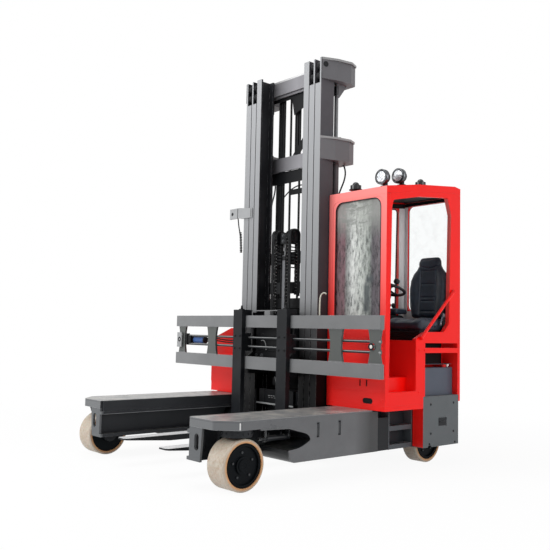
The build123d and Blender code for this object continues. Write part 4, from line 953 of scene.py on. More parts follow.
# Steering column, wheel and console: black moulded covers. The wheel has a padded rim on three spokes and a
# spinner knob; four short levers with ball knobs work the mast.
dress(moulded_black, "steering_column")
wheel_black = paint("wheel_black", seen(24, 25, 28), 0.4, uneven=0.05, soft_edge=0.004)
wheel_centre = Vector((0.850, tips_y + 1.840, 1.440))
column_line = Vector((0, 0.220, 0.710)).normalized()
across_column = column_line.cross(Vector(LEFT)).normalized()
rim_middle = wheel_centre + column_line * 0.0203
rim_radius, grip_radius, grip_steps = 0.150, 0.0128, 14
grip_section = []
for step in range(grip_steps):
    turn = 2 * pi * step / grip_steps
    grip_section.append((grip_radius * sin(turn), rim_radius + grip_radius * cos(turn)))
rim = turned_ring(grip_section, rim_middle, column_line, 56)
boss = turned([(-0.019, 0.0376), (0.012, 0.0376), (0.019, 0.030), (0.0205, 0.012), (0.0205, 0.001)],
              rim_middle, column_line, 40)
spokes = []
for step in range(3):
    turn = 2 * pi * step / 3 - pi / 2
    away = Vector(LEFT) * cos(turn) - across_column * sin(turn)
    beside = column_line.cross(away)
    ring = []
    for reach, width, drop in ((0.030, 0.018, 0.0), (0.080, 0.0125, -0.002), (0.141, 0.0135, 0.0)):
        centre = rim_middle + away * reach + column_line * drop
        ring.append([tuple(centre + beside * a * width + column_line * b * 0.0058)
                     for a, b in ((-1, -0.4), (-0.7, -1), (0.7, -1), (1, -0.4), (1, 0.4), (0.7, 1),
                                  (-0.7, 1), (-1, 0.4))])
    spokes.append(lofted(ring))
wheel_piece = make("steering_wheel_rim", "steering_wheel", wheel_black, joined(rim, boss, *spokes))
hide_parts("steering_wheel")
knob_foot = rim_middle + (Vector(LEFT) * 0.93 + across_column * -0.37).normalized() * rim_radius
knob = turned([(0.010, 0.007), (0.022, 0.007), (0.026, 0.020), (0.042, 0.0265), (0.058, 0.022),
               (0.066, 0.010), (0.067, 0.001)], knob_foot, column_line, 24)
make("spinner_knob", "steering_wheel", wheel_black, knob)
collar = joined(
    turned([(0, 0.052), (0.010, 0.060), (0.030, 0.058), (0.070, 0.048)],
           Vector((0.850, tips_y + 1.620, 0.727)), column_line, 32),
    turned([(-0.120, 0.0345), (-0.115, 0.046), (-0.030, 0.050), (-0.006, 0.042), (-0.004, 0.030)],
           wheel_centre, column_line, 32),
    rod(wheel_centre - column_line * 0.07, wheel_centre - column_line * 0.05 + Vector((-0.130, 0.01, 0.03)),
        0.006, 12),
    turned([(0, 0.006), (0.004, 0.010), (0.020, 0.011), (0.026, 0.006)],
           wheel_centre - column_line * 0.05 + Vector((-0.122, 0.01, 0.028)), Vector((-1, 0.08, 0.2)), 16),
)
make("column_covers", "chassis", moulded_black, collar)
console_low, console_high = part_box("control_console")
knobs, boots = [], []
for step in range(4):
    x, y = (console_low.x + console_high.x) / 2, (console_low.y + console_high.y) / 2 + 0.060 * (step - 1.5)
    boots.append(turned([(0, 0.026), (0.004, 0.027), (0.010, 0.020), (0.014, 0.023), (0.020, 0.016),
                         (0.026, 0.018), (0.034, 0.0095)], (x, y, 1.2502), UP, 24))
    knobs.append(turned([(0, 0.0092), (0.006, 0.015), (0.020, 0.0195), (0.034, 0.016), (0.040, 0.006),
                         (0.0405, 0.001)], (x, y, console_high.z - 0.0415), UP, 20))
make("lever_boots", "chassis", rubber, joined(*boots))
make("lever_knobs", "chassis", wheel_black, joined(*knobs))


# Guard bar: a red tube across the low side of the doorway, welded to two small feet.
bar_low, bar_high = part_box("guard_bar")
dress(cab_red, "guard_bar")
bar_x = (bar_low.x + bar_high.x) / 2
foot_pads = []
for y, z in ((tips_y + 1.905, 1.046), (tips_y + 2.366, 1.463)):
    toward = 1 if z < 1.2 else -1
    line = Vector((0, 0.461, 0.417)).normalized() * toward
    foot_pads.append(turned_ring([(0, 0.0142), (0.0, 0.0185), (0.010, 0.0185), (0.013, 0.0142)],
                                 (bar_x, y + line.y * 0.004, z + line.z * 0.004), line, 24))
make("guard_bar_ends", "chassis", cab_red, joined(*foot_pads))


# Equipment box: a grey steel tank in the recess under the seat, closed by a lid plate, with a red filler cap
# and a white drain knob on top.
box_blue_grey = paint("box_blue_grey", seen(78, 84, 96), 0.4, uneven=0.1, coat=0.1,
                      rub_and_glint_colour=seen(140, 144, 150))
dress(box_blue_grey, "equipment_box", "battery")
tank_low, tank_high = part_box("equipment_box")
cap_red = paint("cap_red", seen(196, 30, 26), 0.45)
knob_white = paint("knob_white", seen(226, 226, 220), 0.4)
make("filler_cap", "chassis", cap_red,
     turned([(0, 0.0225), (0, 0.026), (0.018, 0.027), (0.024, 0.024), (0.026, 0.012), (0.026, 0.001)],
            (1.070, tank_high.y - 0.0930, 0.8062), UP, 12), smooth=25)
make("drain_knob", "chassis", knob_white,
     turned([(0, 0.006), (0.008, 0.006), (0.010, 0.012), (0.020, 0.0135), (0.028, 0.010), (0.029, 0.001)],
            (1.086, tank_high.y - 0.052, 0.8062), UP, 20))
make("tank_lid", "chassis", box_blue_grey,
     block((tank_low.x + 0.010, tank_high.x - 0.004), (tank_low.y + 0.004, tank_high.y - 0.004),
           (tank_high.z, tank_high.z + 0.003)), 0.0012)


# Wheel covers: grey folded boxes bolted over the rear wheels, each with a recessed grip and black screws.
cover_grey = paint("cover_grey", seen(94, 98, 100), 0.42, uneven=0.08, rub_and_glint_colour=seen(150, 152, 154), dust=0.15)
dress(cover_grey, "wheel_covers")
cover_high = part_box("wheel_covers")[1]
screws = [bolt((cover_high.x, tips_y + back, z), LEFT, 0.013, 0.005)
          for back, z in ((2.065, 0.505), (2.384, 0.506), (2.382, 0.267), (2.067, 0.266), (2.404, 0.174),
                          (2.049, 0.182))]
make("cover_screws", "chassis", satin_black, both(joined(*screws)))
grip_x, grip_z = cover_high.x - 0.001, 0.3555
grip = joined(
    block((grip_x - 0.0025, grip_x), (tips_y + 2.176, tips_y + 2.281), (0.323, 0.388)),
    rod((grip_x, tips_y + 2.190, grip_z), (grip_x, tips_y + 2.267, grip_z), 0.006, 12),
)
make("cover_grips", "chassis", satin_black, both(grip), 0.001)


# Roof lamps and domes: two round work lamps with chromed rims and ribbed glass on small brackets, and two
# black sensor domes on round feet.
dress(satin_black, "work_lamps")
lamp_chrome = paint("lamp_chrome", seen(96, 98, 101), 0.22, uneven=0.03, metal=0.8, peel=0.02)


def lamp_glass(name):
    """Clear ribbed glass over a bright bowl."""
    material, tree = new_finish(name)
    ribs = add_node(tree, "TexWave", {"Vector": object_place(tree), "Scale": 30.0},
                    bands_direction="X").outputs["Fac"]
    body = tone(tree, ribs, (0.1, seen(190, 196, 202)), (0.9, seen(238, 242, 246)))
    return finished(material, add_node(tree, "BsdfPrincipled", {
        "Base Color": body, "Roughness": 0.08, "Metallic": 0.3, "Coat Weight": 1.0, "Coat Roughness": 0.02,
        "Normal": bumped(tree, ribs, 0.4, 0.002)}))


def roof_level(back):
    """Height of the roof's top at a distance behind the arm tips: first steeper, then flatter."""
    if back < 1.891:
        return 2.258 + (back - 1.480) / 0.411 * 0.068
    return 2.326 + (back - 1.891) / 0.504 * 0.055


lens_finish = lamp_glass("lamp_lens")
for name, x, back in (("near", 1.042, 1.530), ("outer", 1.086, 1.687)):
    roof_z = roof_level(back + 0.070)
    centre = Vector((x, tips_y + back, roof_z + 0.0003 + 0.010 + 0.063))
    make("lamp_rim_" + name, "chassis", lamp_chrome,
         turned_ring([(-0.030, 0.0632), (-0.004, 0.0632), (0.0, 0.0600), (0.0, 0.0520), (-0.003, 0.0500)],
                     centre, AHEAD, 48))
    make("lamp_bowl_" + name, "chassis", lens_finish,
         turned([(-0.002, 0.0515), (0.0, 0.045), (0.0, 0.030), (0.0, 0.015), (0.0, 0.001)],
                centre, AHEAD, 40))
    fins = []
    for i in range(4):
        near, far, tip = -0.042 - 0.007 * i, -0.045 - 0.007 * i, 0.050 - 0.002 * i
        fins.append(turned_ring([(near, 0.0405), (near, tip), (far, tip), (far, 0.0405)], centre, AHEAD, 32))
    yoke = joined(block((x - 0.030, x + 0.030), (centre.y + 0.030, centre.y + 0.070),
                        (roof_z, roof_z + 0.007)),
                  bolt((x, centre.y + 0.062, roof_z + 0.0405), UP, 0.014, 0.007))
    make("lamp_body_" + name, "chassis", satin_black, joined(*fins, yoke), 0.001)
dome_black = paint("dome_black", seen(22, 24, 27), 0.22, uneven=0.05, coat=0.5)
dress(dome_black, "roof_domes")
dome_radius = 0.0465
rings = [turned_ring([(0, dome_radius), (0, 0.056), (0.006, 0.056), (0.008, dome_radius)],
                     (x, tips_y + back, roof_level(back + 0.046)), UP, 40)
         for x, back in ((0.765, 1.535), (1.000, 2.102))]
make("dome_feet", "chassis", rubber, joined(*rings))


# Battery housing, lid and pump housing: red sheet steel behind the mast. Two pinned straps hinge the lid at
# its inner edge, and a pull bar opens it; the pump housing has vent slats, screws and grab handles.
lid_low, lid_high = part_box("battery_lid")
house_low, house_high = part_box("battery_housing")
skirt_shape = block((house_low.x + 0.002, house_low.x + 0.110), (house_low.y + 0.002, house_low.y + 0.012),
                    (0.4795, 0.640))
make("battery_skirt", "chassis", cab_red, skirt_shape, 0.001)
hinge_x, hinge_z = lid_high.x, lid_high.z
pin_x = hinge_x - 0.030
hinges = []
for y in (house_low.y + 0.18, house_high.y - 0.18):
    hinges.append(block((hinge_x - 0.050, hinge_x - 0.003), (y - 0.043, y + 0.043),
                        (hinge_z - 0.0002, hinge_z + 0.003)))
    hinges += [rod((pin_x, pin_y, hinge_z), (pin_x, pin_y, hinge_z + 0.0055), 0.005, 12)
               for pin_y in (y - 0.028, y + 0.028)]
make("lid_hinges", "battery_lid", satin_black, joined(*hinges), 0.0008)
latch_y = (lid_low.y + lid_high.y) / 2
latch = joined(block((lid_low.x + 0.0600, lid_low.x + 0.0900), (latch_y - 0.05, latch_y + 0.05),
                     (lid_high.z - 0.0002, lid_high.z + 0.0022)),
               rod((lid_low.x + 0.075, latch_y - 0.035, lid_high.z + 0.005),
                   (lid_low.x + 0.075, latch_y + 0.035, lid_high.z + 0.005), 0.005, 12))
make("lid_pull", "battery_lid", satin_black, latch, 0.001)
vents_y, vents_low, vents_high, vent_count = house_high.y - 0.0043, 0.62, 0.92, 10
vents = []
for step in range(vent_count):
    low = vents_low + (vents_high - vents_low) * step / vent_count
    vents.append(block((-0.30, 0.26), (vents_y, vents_y + 0.0035), (low, low + 0.008)))
make("pump_vents", "chassis", cab_red, joined(*vents), 0.001)
make("pump_screws", "chassis", cab_red, joined(*[
    turned([(-0.001, 0.011), (0.0, 0.011), (0.0, 0.001)], (x, house_high.y - 0.0005, z), BACK, 16)
    for x in (-0.50, -0.02, 0.46) for z in (0.54, 1.02)]))
pump_low, pump_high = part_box("pump_housing")
# two feet and a bar each: start and end along the housing, then low and high over it
grab = [block((x - 0.012, x + 0.012), (pump_low.y + near, pump_low.y + far),
              (pump_high.z + low, pump_high.z + high))
        for x in (-0.42, 0.38)
        for near, far, low, high in ((0.08, 0.092, 0, 0.030), (0.20, 0.212, 0, 0.030),
                                     (0.08, 0.212, 0.028, 0.038))]
make("pump_grabs", "chassis", satin_black, joined(*grab), 0.003)


# Mast rails: three nested stages of rolled channel, sprayed mid grey. Their front flanges are painted a
# lighter grey as a highlight where the light falls, the hollows between them are painted dark as shade, and
# the rails grow darker towards the foot and lighter towards the top.
mast_low, mast_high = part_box("mast_outer_rails")
mast_front_y, mast_rear_y, mast_top_z = mast_low.y, mast_high.y, mast_high.z
rail_grey, flange_highlight, hollow_shade = seen(90, 88, 92), seen(172, 173, 175), seen(46, 47, 50)
flange_highlight_band = ("Y", mast_front_y - 0.003, mast_front_y + 0.0006, flange_highlight)


def rail_paint(name, outer_x):
    """Rail paint, painted dark as shade inside the channel up to the outer face, with a painted highlight on
    the front flanges.
    """
    return paint(name, rail_grey, 0.40, uneven=0.10, rub_and_glint_colour=seen(186, 187, 188), rub_and_glint_amount=0.8, peel=0.1,
                 shine=0.12, fades=[("Z", 0.85, 1.35, 0.05, 0.70), ("Z", 1.30, 3.40, 0.86, 1.40)],
                 bands=[("X", 0.0, outer_x - 0.0008, hollow_shade), flange_highlight_band,
                        ("Z", mast_top_z - 0.0008, mast_top_z + 0.001, seen(150, 150, 152))])


for stage, outer_x in (("outer", 0.505), ("mid", 0.426), ("inner", 0.354)):
    dress(rail_paint(stage + "_rail_grey", outer_x), "mast_" + stage + "_rails")
cap_edge = seen(150, 150, 150)
# painted shade: near black below 1.82 m, darker towards the truck's right and on the brackets' outer sides;
# lighter bands along the cap plates' top edges
mast_dark = paint("mast_dark", seen(98, 97, 100), 0.42, uneven=0.10, rub_and_glint_colour=seen(160, 160, 162), shine=0.3,
                  bands=[("Z", mast_top_z - 0.0195, mast_top_z + 0.001, cap_edge),
                         ("Z", 2.7425, 2.763, cap_edge), ("Z", 0.20, 1.82, seen(24, 25, 27))],
                  fades=[("X", -0.30, 0.02, 0.6, 2.3), ("X", 0.36, 0.40, 1.0, 0.42)])
dress(mast_dark, "mast_outer_cross", "mast_mid_cross", "mast_inner_cross")
black_steel = paint("black_steel", seen(20, 21, 23), 0.38, uneven=0.2, rub_and_glint_colour=seen(70, 70, 72), shine=0.15)
# rollers at the top of the outer and middle stages, in the cutaways of their front flanges
for stage, web_x, lip_x in (("outer", 0.436, 0.488), ("mid", 0.364, 0.409)):
    wide = lip_x - web_x
    top_rollers = []
    for drop in (0.060, 0.150):
        centre = (web_x, (mast_front_y + mast_rear_y) / 2 - 0.040, mast_top_z - drop)
        top_rollers.append(turned([(0.002, 0.010), (0.002, 0.034), (0.006, 0.038), (wide - 0.004, 0.038),
                                   (wide, 0.034), (wide, 0.010)], centre, LEFT, 28))
    make(stage + "_top_rollers", "mast_" + stage, black_steel, both(joined(*top_rollers)))
# black crossmembers and hose carriers on the rear of the outer stage, with the lines that run down behind it
back_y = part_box("mast_outer_cross")[0].y + 0.251
yoke_outline = [(-0.500, 3.165), (-0.352, 3.165), (-0.352, 3.262), (-0.09, 3.262), (-0.06, 3.100),
                (0.04, 3.140), (0.352, 3.262), (0.352, 3.165), (0.500, 3.165), (0.500, 3.250),
                (0.367, 3.250), (0.367, 3.345), (-0.367, 3.345), (-0.367, 3.250), (-0.500, 3.250)]
carriers = joined(
    slab(yoke_outline, "Y", back_y + 0.002, back_y + 0.012),
    block((-0.43, 0.43), (back_y + 0.018, back_y + 0.026), (2.470, 2.5845)),
    block((-0.12, 0.30), (back_y + 0.018, back_y + 0.028), (2.352, 2.402)),
    slab([(-0.22, 2.60), (-0.13, 2.60), (0.04, 2.78), (0.04, 2.88)], "Y", back_y + 0.030, back_y + 0.036),
)
make("hose_carriers", "mast_outer", black_steel, joined(
    carriers,
    *[block((x - 0.030, x + 0.030), (mast_rear_y + 0.0005, back_y + 0.002), (3.165, 3.245))
      for x in (0.440, -0.440)]), 0.0015)
# hoses, columns: place across, radius, lower and upper end
runs = [rod((x, back_y + 0.045, low), (x, back_y + 0.045, high), radius, 12)
        for x, radius, low, high in (
            (-0.318, 0.0145, 1.30, 2.50), (-0.296, 0.0145, 1.30, 3.30), (-0.268, 0.0145, 1.30, 3.30),
            (-0.238, 0.0145, 1.30, 3.30), (-0.144, 0.0105, 1.30, 3.30), (-0.075, 0.010, 2.60, 3.28),
            (-0.046, 0.0145, 2.60, 3.28), (-0.018, 0.0105, 1.30, 3.30))]
make("rear_hoses", "mast_outer", black_steel, joined(*runs))
hose_clips = joined(*[block((-0.310, 0.004), (back_y + near, back_y + 0.036), (z, z + 0.016))
                      for near, z in ((0.0165, 1.34), (0.026, 2.52), (0.0165, 2.66), (0.012, 3.280))])
make("hose_clips", "mast_outer", black_steel, hose_clips, 0.001)
# black guard plate low on the rear of the outer stage
make("rear_guard", "mast_outer", black_steel,
     block((-0.404, 0.404), (back_y + 0.0185, back_y + 0.0225), (0.235, 1.385)), 0.001)


# Cylinder brackets: welded boxes behind the rails that carry the lift cylinders below and their rods above.
# A gusset stiffens each upper one, and four plated bolts stand on each lower one.
bracket_rear_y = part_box("mast_mid_cross")[1].y
upper_low_z = mast_top_z - 0.188
gusset_y, gusset_foot_z = mast_rear_y + 0.045, upper_low_z - 0.120
gusset = [(gusset_y, upper_low_z), (bracket_rear_y - 0.05, upper_low_z), (gusset_y + 0.030, gusset_foot_z),
          (gusset_y, gusset_foot_z)]
make("upper_gussets", "mast_mid", mast_dark, both(slab(gusset, "X", 0.486, 0.498)), 0.0015)
washer = turned([(0.0002, 0.001), (0.0002, 0.013), (0.0016, 0.016), (0.0022, 0.013), (0.0022, 0.001)],
                (0.300, mast_rear_y + 0.040, 3.36), BACK, 20)
make("clip_washers", "mast_mid", zinc, both(washer))
lower_top = mast_top_z - 0.688
lower_bolts = joined(*[bolt((x, mast_front_y + back, lower_top), UP, 0.022, 0.012)
                       for x, back in ((0.405, 0.345), (0.520, 0.330), (0.545, 0.200), (0.400, 0.200))])
make("lower_bracket_bolts", "mast_outer", zinc, both(lower_bolts))


# Lift cylinders: two long grey tubes with plated rods behind the outer rails, each with a gland nut at its
# top and a black hose that loops out below the bracket and runs down the tube.
cylinder_grey = paint("cylinder_grey", seen(84, 84, 87), 0.40, uneven=0.10, rub_and_glint_colour=seen(140, 140, 142))
dress(cylinder_grey, "lift_cylinders")
plated_rod = paint("plated_rod", seen(116, 117, 119), 0.30, uneven=0.05, peel=0.01, soft_edge=0.001,
                   shine=0.5)
dress(plated_rod, "lift_rods")
tube_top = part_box("lift_cylinders")[1].z
tube_x, tube_y = 0.440, mast_front_y + 0.258
glands = joined(
    turned_ring([(-0.030, 0.0302), (-0.028, 0.0335), (-0.006, 0.0335), (-0.001, 0.031)],
                (tube_x, tube_y, tube_top), UP, 30),
    turned_ring([(0.0, 0.0185), (0.0, 0.027), (0.008, 0.025), (0.010, 0.0185)],
                (tube_x, tube_y, tube_top), UP, 30),
)
make("lift_glands", "mast_outer", black_steel, both(glands))


def pipe(name, body, finish, points, radius, base_y=0):
    """A bent steel pipe or a hose held at both ends, its bends measured from a base along the truck."""
    line = bpy.data.curves.new(name, "CURVE")
    line.dimensions = "3D"
    spline = line.splines.new("NURBS")
    spline.points.add(len(points) - 1)
    for spot, (x, y, z) in zip(spline.points, points):
        spot.co = (x, base_y + y, z, 1)
    spline.order_u = 3
    spline.use_endpoint_u = True
    spline.resolution_u = 5
    line.bevel_depth = radius
    line.bevel_resolution = 3
    line.use_fill_caps = True
    line.materials.append(finish)
    piece = bpy.data.objects.new(name, line)
    bpy.context.scene.collection.objects.link(piece)
    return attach(piece, body)


hose_black = paint("hose_black", seen(20, 21, 23), 0.5, uneven=0.05, soft_edge=0.001)
pipe_steel = paint("pipe_steel", seen(172, 168, 156), 0.35, metal=0.5, uneven=0.1)
pipe_line = [(0.448, -0.010, 2.588), (0.455, 0.022, 2.585), (0.466, 0.058, 2.555), (0.470, 0.070, 2.490),
             (0.466, 0.056, 2.420), (0.455, 0.020, 2.335), (0.446, 0, 2.270), (0.445, 0, 1.950),
             (0.445, 0, 0.42)]
for side, name in SIDES:
    pipe("lift_pipe_" + name, "mast_outer", hose_black, [(side * x, y, z) for x, y, z in pipe_line], 0.0070,
         tube_y + 0.031)
pipe("cross_hose", "mast_outer", black_steel,
     [(-0.238, 0.056, 2.350), (-0.190, 0.064, 2.395), (-0.110, 0.066, 2.432), (-0.010, 0.062, 2.446),
      (0.060, 0.050, 2.420), (0.080, 0.034, 2.390)], 0.006, back_y)
top_fittings = joined(
    turned([(0, 0.020), (0.014, 0.020), (0.016, 0.013), (0.030, 0.013)], (tube_x, tube_y, 2.785), UP, 6),
    rod((0.470, tube_y + 0.030, 2.772), (0.500, tube_y + 0.062, 2.772), 0.009, 12),
    turned([(0, 0.013), (0.018, 0.013)], (0.500, tube_y + 0.062, 2.7625), UP, 6),
)
make("lift_fittings", "mast_outer", zinc, both(top_fittings))


# Free lift cylinder, crosshead and chain wheels: a short ram in the middle of the inner stage pushes up a
# crosshead with two grooved chain wheels and, outside them, two rollers for the hoses.
dress(black_steel, "crosshead")
ram_grey = paint("ram_grey", seen(112, 113, 116), 0.38, uneven=0.1, rub_and_glint_colour=seen(170, 170, 172))
dress(ram_grey, "free_lift_cylinder")
ram_low, ram_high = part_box("free_lift_cylinder")
ram_y = (ram_low.y + ram_high.y) / 2
ram_trim = joined(
    turned_ring([(-0.045, 0.0382), (-0.043, 0.044), (-0.010, 0.044), (-0.006, 0.040)],
                (0, ram_y, ram_high.z), UP, 36),
    *[turned_ring([(0, 0.0382), (0.002, 0.042), (0.022, 0.042), (0.024, 0.0382)], (0, ram_y, z), UP, 36)
      for z in (1.10, 0.70)],
    *[bolt((x, ram_y + y, 0.3202), UP, 0.018, 0.010) for x in (-0.047, 0.047) for y in (-0.036, 0.036)],
)
make("ram_collars", "mast_inner", black_steel, ram_trim)
chain_x, wheel_z, chain_wheel_radius = 0.073, 1.930, 0.057
wheel_y = mast_front_y + 0.088
hose_x = 0.103
sheaves = joined(
    turned_ring([(0.0, 0.016), (0.0, 0.062), (0.004, 0.062), (0.009, 0.050), (0.0145, 0.050),
                 (0.0195, 0.062), (0.0235, 0.062), (0.0235, 0.016)],
                (hose_x - 0.0118, wheel_y, wheel_z), LEFT, 36),
    bolt((0.1102, wheel_y, wheel_z), LEFT, 0.024, 0.009),
)
make("hose_rollers", "crosshead", black_steel, both(sheaves))
crown = [bolt((0.0, wheel_y - 0.0342, wheel_z + above), AHEAD, 0.019, 0.010) for above in (0.012, -0.036)]
make("crosshead_bolts", "crosshead", nut_grey, joined(*crown))
make("ram_rod", "crosshead", plated_rod,
     turned([(0, 0.0223), (1.33, 0.0223)], (0, ram_y, 0.56), UP, 32))
# slotted guards under the wheels, between the two runs of the chains
guard_x, guard_z, guard_gap = 0.094, 1.862, 0.0305
guards = [block((guard_x - 0.002, guard_x + 0.002), (wheel_y - 0.040, wheel_y + 0.040), (z, z + 0.010))
          for z in [guard_z - guard_gap * step for step in range(8)]]
make("chain_guards", "crosshead", black_steel, both(joined(*guards)))
# twin hoses over the rollers, from the carriage's side up and down behind the crosshead
hose_front, hose_rear = wheel_y - 0.056, wheel_y + 0.056
hose_points = [(hose_front, 0.842), (hose_front, 1.30), (hose_front, wheel_z - 0.02),
               (hose_front, wheel_z + 0.052), (wheel_y, wheel_z + 0.068), (hose_rear, wheel_z + 0.052),
               (hose_rear, wheel_z - 0.02), (hose_rear, 1.60), (hose_rear, 1.40)]
for side, name in SIDES:
    for beside in (0.0, 0.018):
        pipe(f"mast_hose_{name}_{beside > 0:d}", "crosshead", hose_black,
             [(side * (hose_x + beside), y, z) for y, z in hose_points], 0.0082)


# Lift chains: leaf chain of punched plates on plated pins, from an anchor on the fork carriage over the chain
# wheels to an anchor on the inner stage.
chain_oiled = paint("chain_oiled", seen(30, 30, 31), 0.34, uneven=0.25, peel=0.15, soft_edge=0.0006,
                    rub_and_glint_colour=seen(90, 90, 88), rub_and_glint_amount=1.0)
pitch = 0.0305
anchor_z, rear_anchor_z = 0.790, 1.400


def chain_place(distance):
    """Place and direction along a chain's line, from the carriage's anchor up and over the wheel."""
    rise = wheel_z - anchor_z
    arc = pi * chain_wheel_radius
    if distance < rise:
        return Vector((0, wheel_y - chain_wheel_radius, anchor_z + distance)), Vector(UP)
    if distance < rise + arc:
        turn = (distance - rise) / chain_wheel_radius
        spot = Vector((0, wheel_y - chain_wheel_radius * cos(turn),
                       wheel_z + chain_wheel_radius * sin(turn)))
        return spot, Vector((0, sin(turn), cos(turn)))
    return Vector((0, wheel_y + chain_wheel_radius, wheel_z - (distance - rise - arc))), Vector(DOWN)


plate_radius = 0.0064
link_outline = []
for angle in (-75, -25, 25, 75, 105, 155, 205, 255):
    along = cos(radians(angle))
    link_outline.append((plate_radius * along + (pitch / 2 if along > 0 else -pitch / 2),
                         plate_radius * sin(radians(angle))))
chain_length = wheel_z - anchor_z + pi * chain_wheel_radius + wheel_z - rear_anchor_z
links, pins = [], []
for number in range(int(chain_length / pitch)):
    spot, line = chain_place((number + 0.5) * pitch)
    across = Vector((0, -line.z, line.y))
    offsets = ((-0.0118, -0.0094), (-0.0020, 0.0020), (0.0094, 0.0118)) if number % 2 else (
        (-0.0090, -0.0066), (0.0066, 0.0090))
    for start, end in offsets:
        ring = [[tuple(spot + line * a + across * b + Vector((chain_x + x, 0, 0))) for a, b in link_outline]
                for x in (start, end)]
        links.append(lofted(ring))
    spot, line = chain_place(number * pitch + 0.0001)
    pins.append(turned([(-0.0130, 0.0034), (0.0130, 0.0034)], spot + Vector((chain_x, 0, 0)), LEFT, 6))
chain_piece = make("leaf_chains", "crosshead", chain_oiled, both(joined(*links)), smooth=30)
pin_bright = paint("pin_bright", seen(206, 206, 204), 0.3, uneven=0.1)
make("chain_pins", "crosshead", pin_bright, both(joined(*pins)), smooth=30)
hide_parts("lift_chains")


# Hose bracket: a drilled plate welded to the right outer rail, with a black strap for the hoses below it.
plate_y = mast_front_y - 0.0125
plate_outline = [(-0.708, 2.150), (-0.560, 2.150), (-0.530, 2.142), (-0.3750, 2.142), (-0.3750, 2.232),
                 (-0.530, 2.246), (-0.560, 2.250), (-0.708, 2.250)]
bracket_grey = paint("bracket_grey", seen(158, 159, 160), 0.42, uneven=0.08, shine=0.3)
make("hose_plate", "mast_outer", bracket_grey, joined(
    slab(plate_outline, "Y", plate_y, plate_y + 0.012),
    block((-0.560, -0.552), (plate_y + 0.012, plate_y + 0.060), (2.150, 2.250))), 0.0015)
# painted shade: dark discs and rings fill openings and bearing recesses, and two thin dark lines lie on the
# hose plate's face
hole_shade = paint("hole_shade", seen(24, 25, 27), 0.6)
hole_radius, hole_steps = 0.016, 16
turns = [2 * pi * step / hole_steps for step in range(hole_steps)]
hole = [(-0.668 + hole_radius * cos(turn), 2.199 + hole_radius * sin(turn)) for turn in turns]
make("hose_plate_hole", "mast_outer", hole_shade, joined(
    slab(hole, "Y", plate_y - 0.0004, plate_y + 0.0124),
    block((-0.590, -0.584), (plate_y - 0.0015, plate_y), (2.152, 2.248)),
    block((-0.392, -0.386), (plate_y - 0.0015, plate_y), (2.150, 2.228))))
pipe("hose_strap", "mast_outer", hose_black,
     [(-0.596, 0.014, 2.150), (-0.580, 0.012, 2.07), (-0.560, 0.010, 2.02), (-0.540, 0.010, 1.95),
      (-0.532, 0.010, 1.83)], 0.0055, plate_y)
bead_count, bead_top, bead_gap = 13, 2.018, 0.0155
beads = []
for step in range(bead_count):
    place = (-0.552 + 0.018 * (step / 12) ** 0.5, plate_y + 0.010, bead_top - bead_gap * step)
    beads.append(turned_ring([(0, 0.005), (0.002, 0.0125), (0.010, 0.0125), (0.012, 0.005)],
                             place, DOWN, 12))
make("strap_beads", "mast_outer", hose_black, joined(*beads))
# rimmed round opening in the side of each upper bracket, its inside a dark disc of painted shade
eyes = turned([(0.0003, 0.001), (0.0003, 0.020), (0.0018, 0.024), (0.003, 0.020), (0.0014, 0.018),
               (0.0014, 0.001)], (0.5252, tips_y + 1.397, mast_top_z - 0.060), (0.951, -0.309, 0), 28)
make("bracket_eyes", "mast_mid", hole_shade, both(eyes))


# Fork carriage: black welded side plates that run on rollers inside the mast, with two cross plates. The
# positioner frame tilts on its ears.
dress(black_steel, "fork_carriage")
face_y = tips_y + 1.320
carriage_trim = joined(
    *[bolt((x, face_y, z), AHEAD, 0.024, 0.012) for x in (-0.225, -0.15, 0.15, 0.225)
      for z in (0.775, 0.865)],
    *[bolt((x, face_y, z), AHEAD, 0.021, 0.010) for x in (-0.225, 0.225) for z in (1.145, 1.205)],
)
make("carriage_bolts", "fork_carriage", nut_grey, carriage_trim)
# valve block and hoses on the carriage, and a second block on the foot of the inner stage
valve = joined(
    block((-0.150, 0.120), (face_y - 0.012, face_y - 0.001), (0.905, 1.060)),
    block((-0.225, 0.225), (face_y - 0.006, face_y - 0.001), (0.900, 1.110)),
)
make("carriage_valve", "fork_carriage", black_steel, valve, 0.002)
thin_grey = paint("thin_grey", seen(150, 152, 152), 0.4, uneven=0.2)
pipe("valve_pipe_high", "fork_carriage", thin_grey,
     [(-0.145, -0.012, 0.995), (-0.120, -0.017, 1.004), (-0.090, -0.017, 0.990), (-0.075, -0.017, 0.955),
      (-0.078, -0.012, 0.915)], 0.0045, face_y)
foot_y = mast_front_y + 0.004
foot_block = joined(
    block((-0.225, 0.225), (foot_y, foot_y + 0.030), (0.452, 0.565)),
    block((-0.160, -0.150), (foot_y - 0.004, foot_y), (0.452, 0.565)),
    block((-0.135, -0.040), (ram_y - 0.018, ram_y + 0.010), (0.600, 0.668)),
    rod((-0.285, foot_y + 0.010, 0.555), (-0.285, foot_y + 0.010, 0.300), 0.008, 12),
)
make("foot_block", "mast_inner", black_steel, foot_block, 0.002)
pale_lines = joined(
    block((-0.260, 0.230), (foot_y - 0.006, foot_y - 0.001), (0.432, 0.446)),
    *[block((start + gap * step, start + wide + gap * step), (foot_y - 0.003, foot_y), heights)
      for start, wide, gap, heights in ((-0.100, 0.022, 0.032, (0.508, 0.513)),
                                        (-0.095, 0.020, 0.036, (0.492, 0.496)))
      for step in range(5)],
)
make("foot_block_trim", "mast_inner", thin_grey, pale_lines)
pipe("valve_pipe_low", "mast_inner", thin_grey,
     [(-0.112, -0.014, 0.668), (-0.100, -0.024, 0.676), (-0.088, -0.023, 0.655), (-0.088, -0.018, 0.622)],
     0.0045, ram_y)


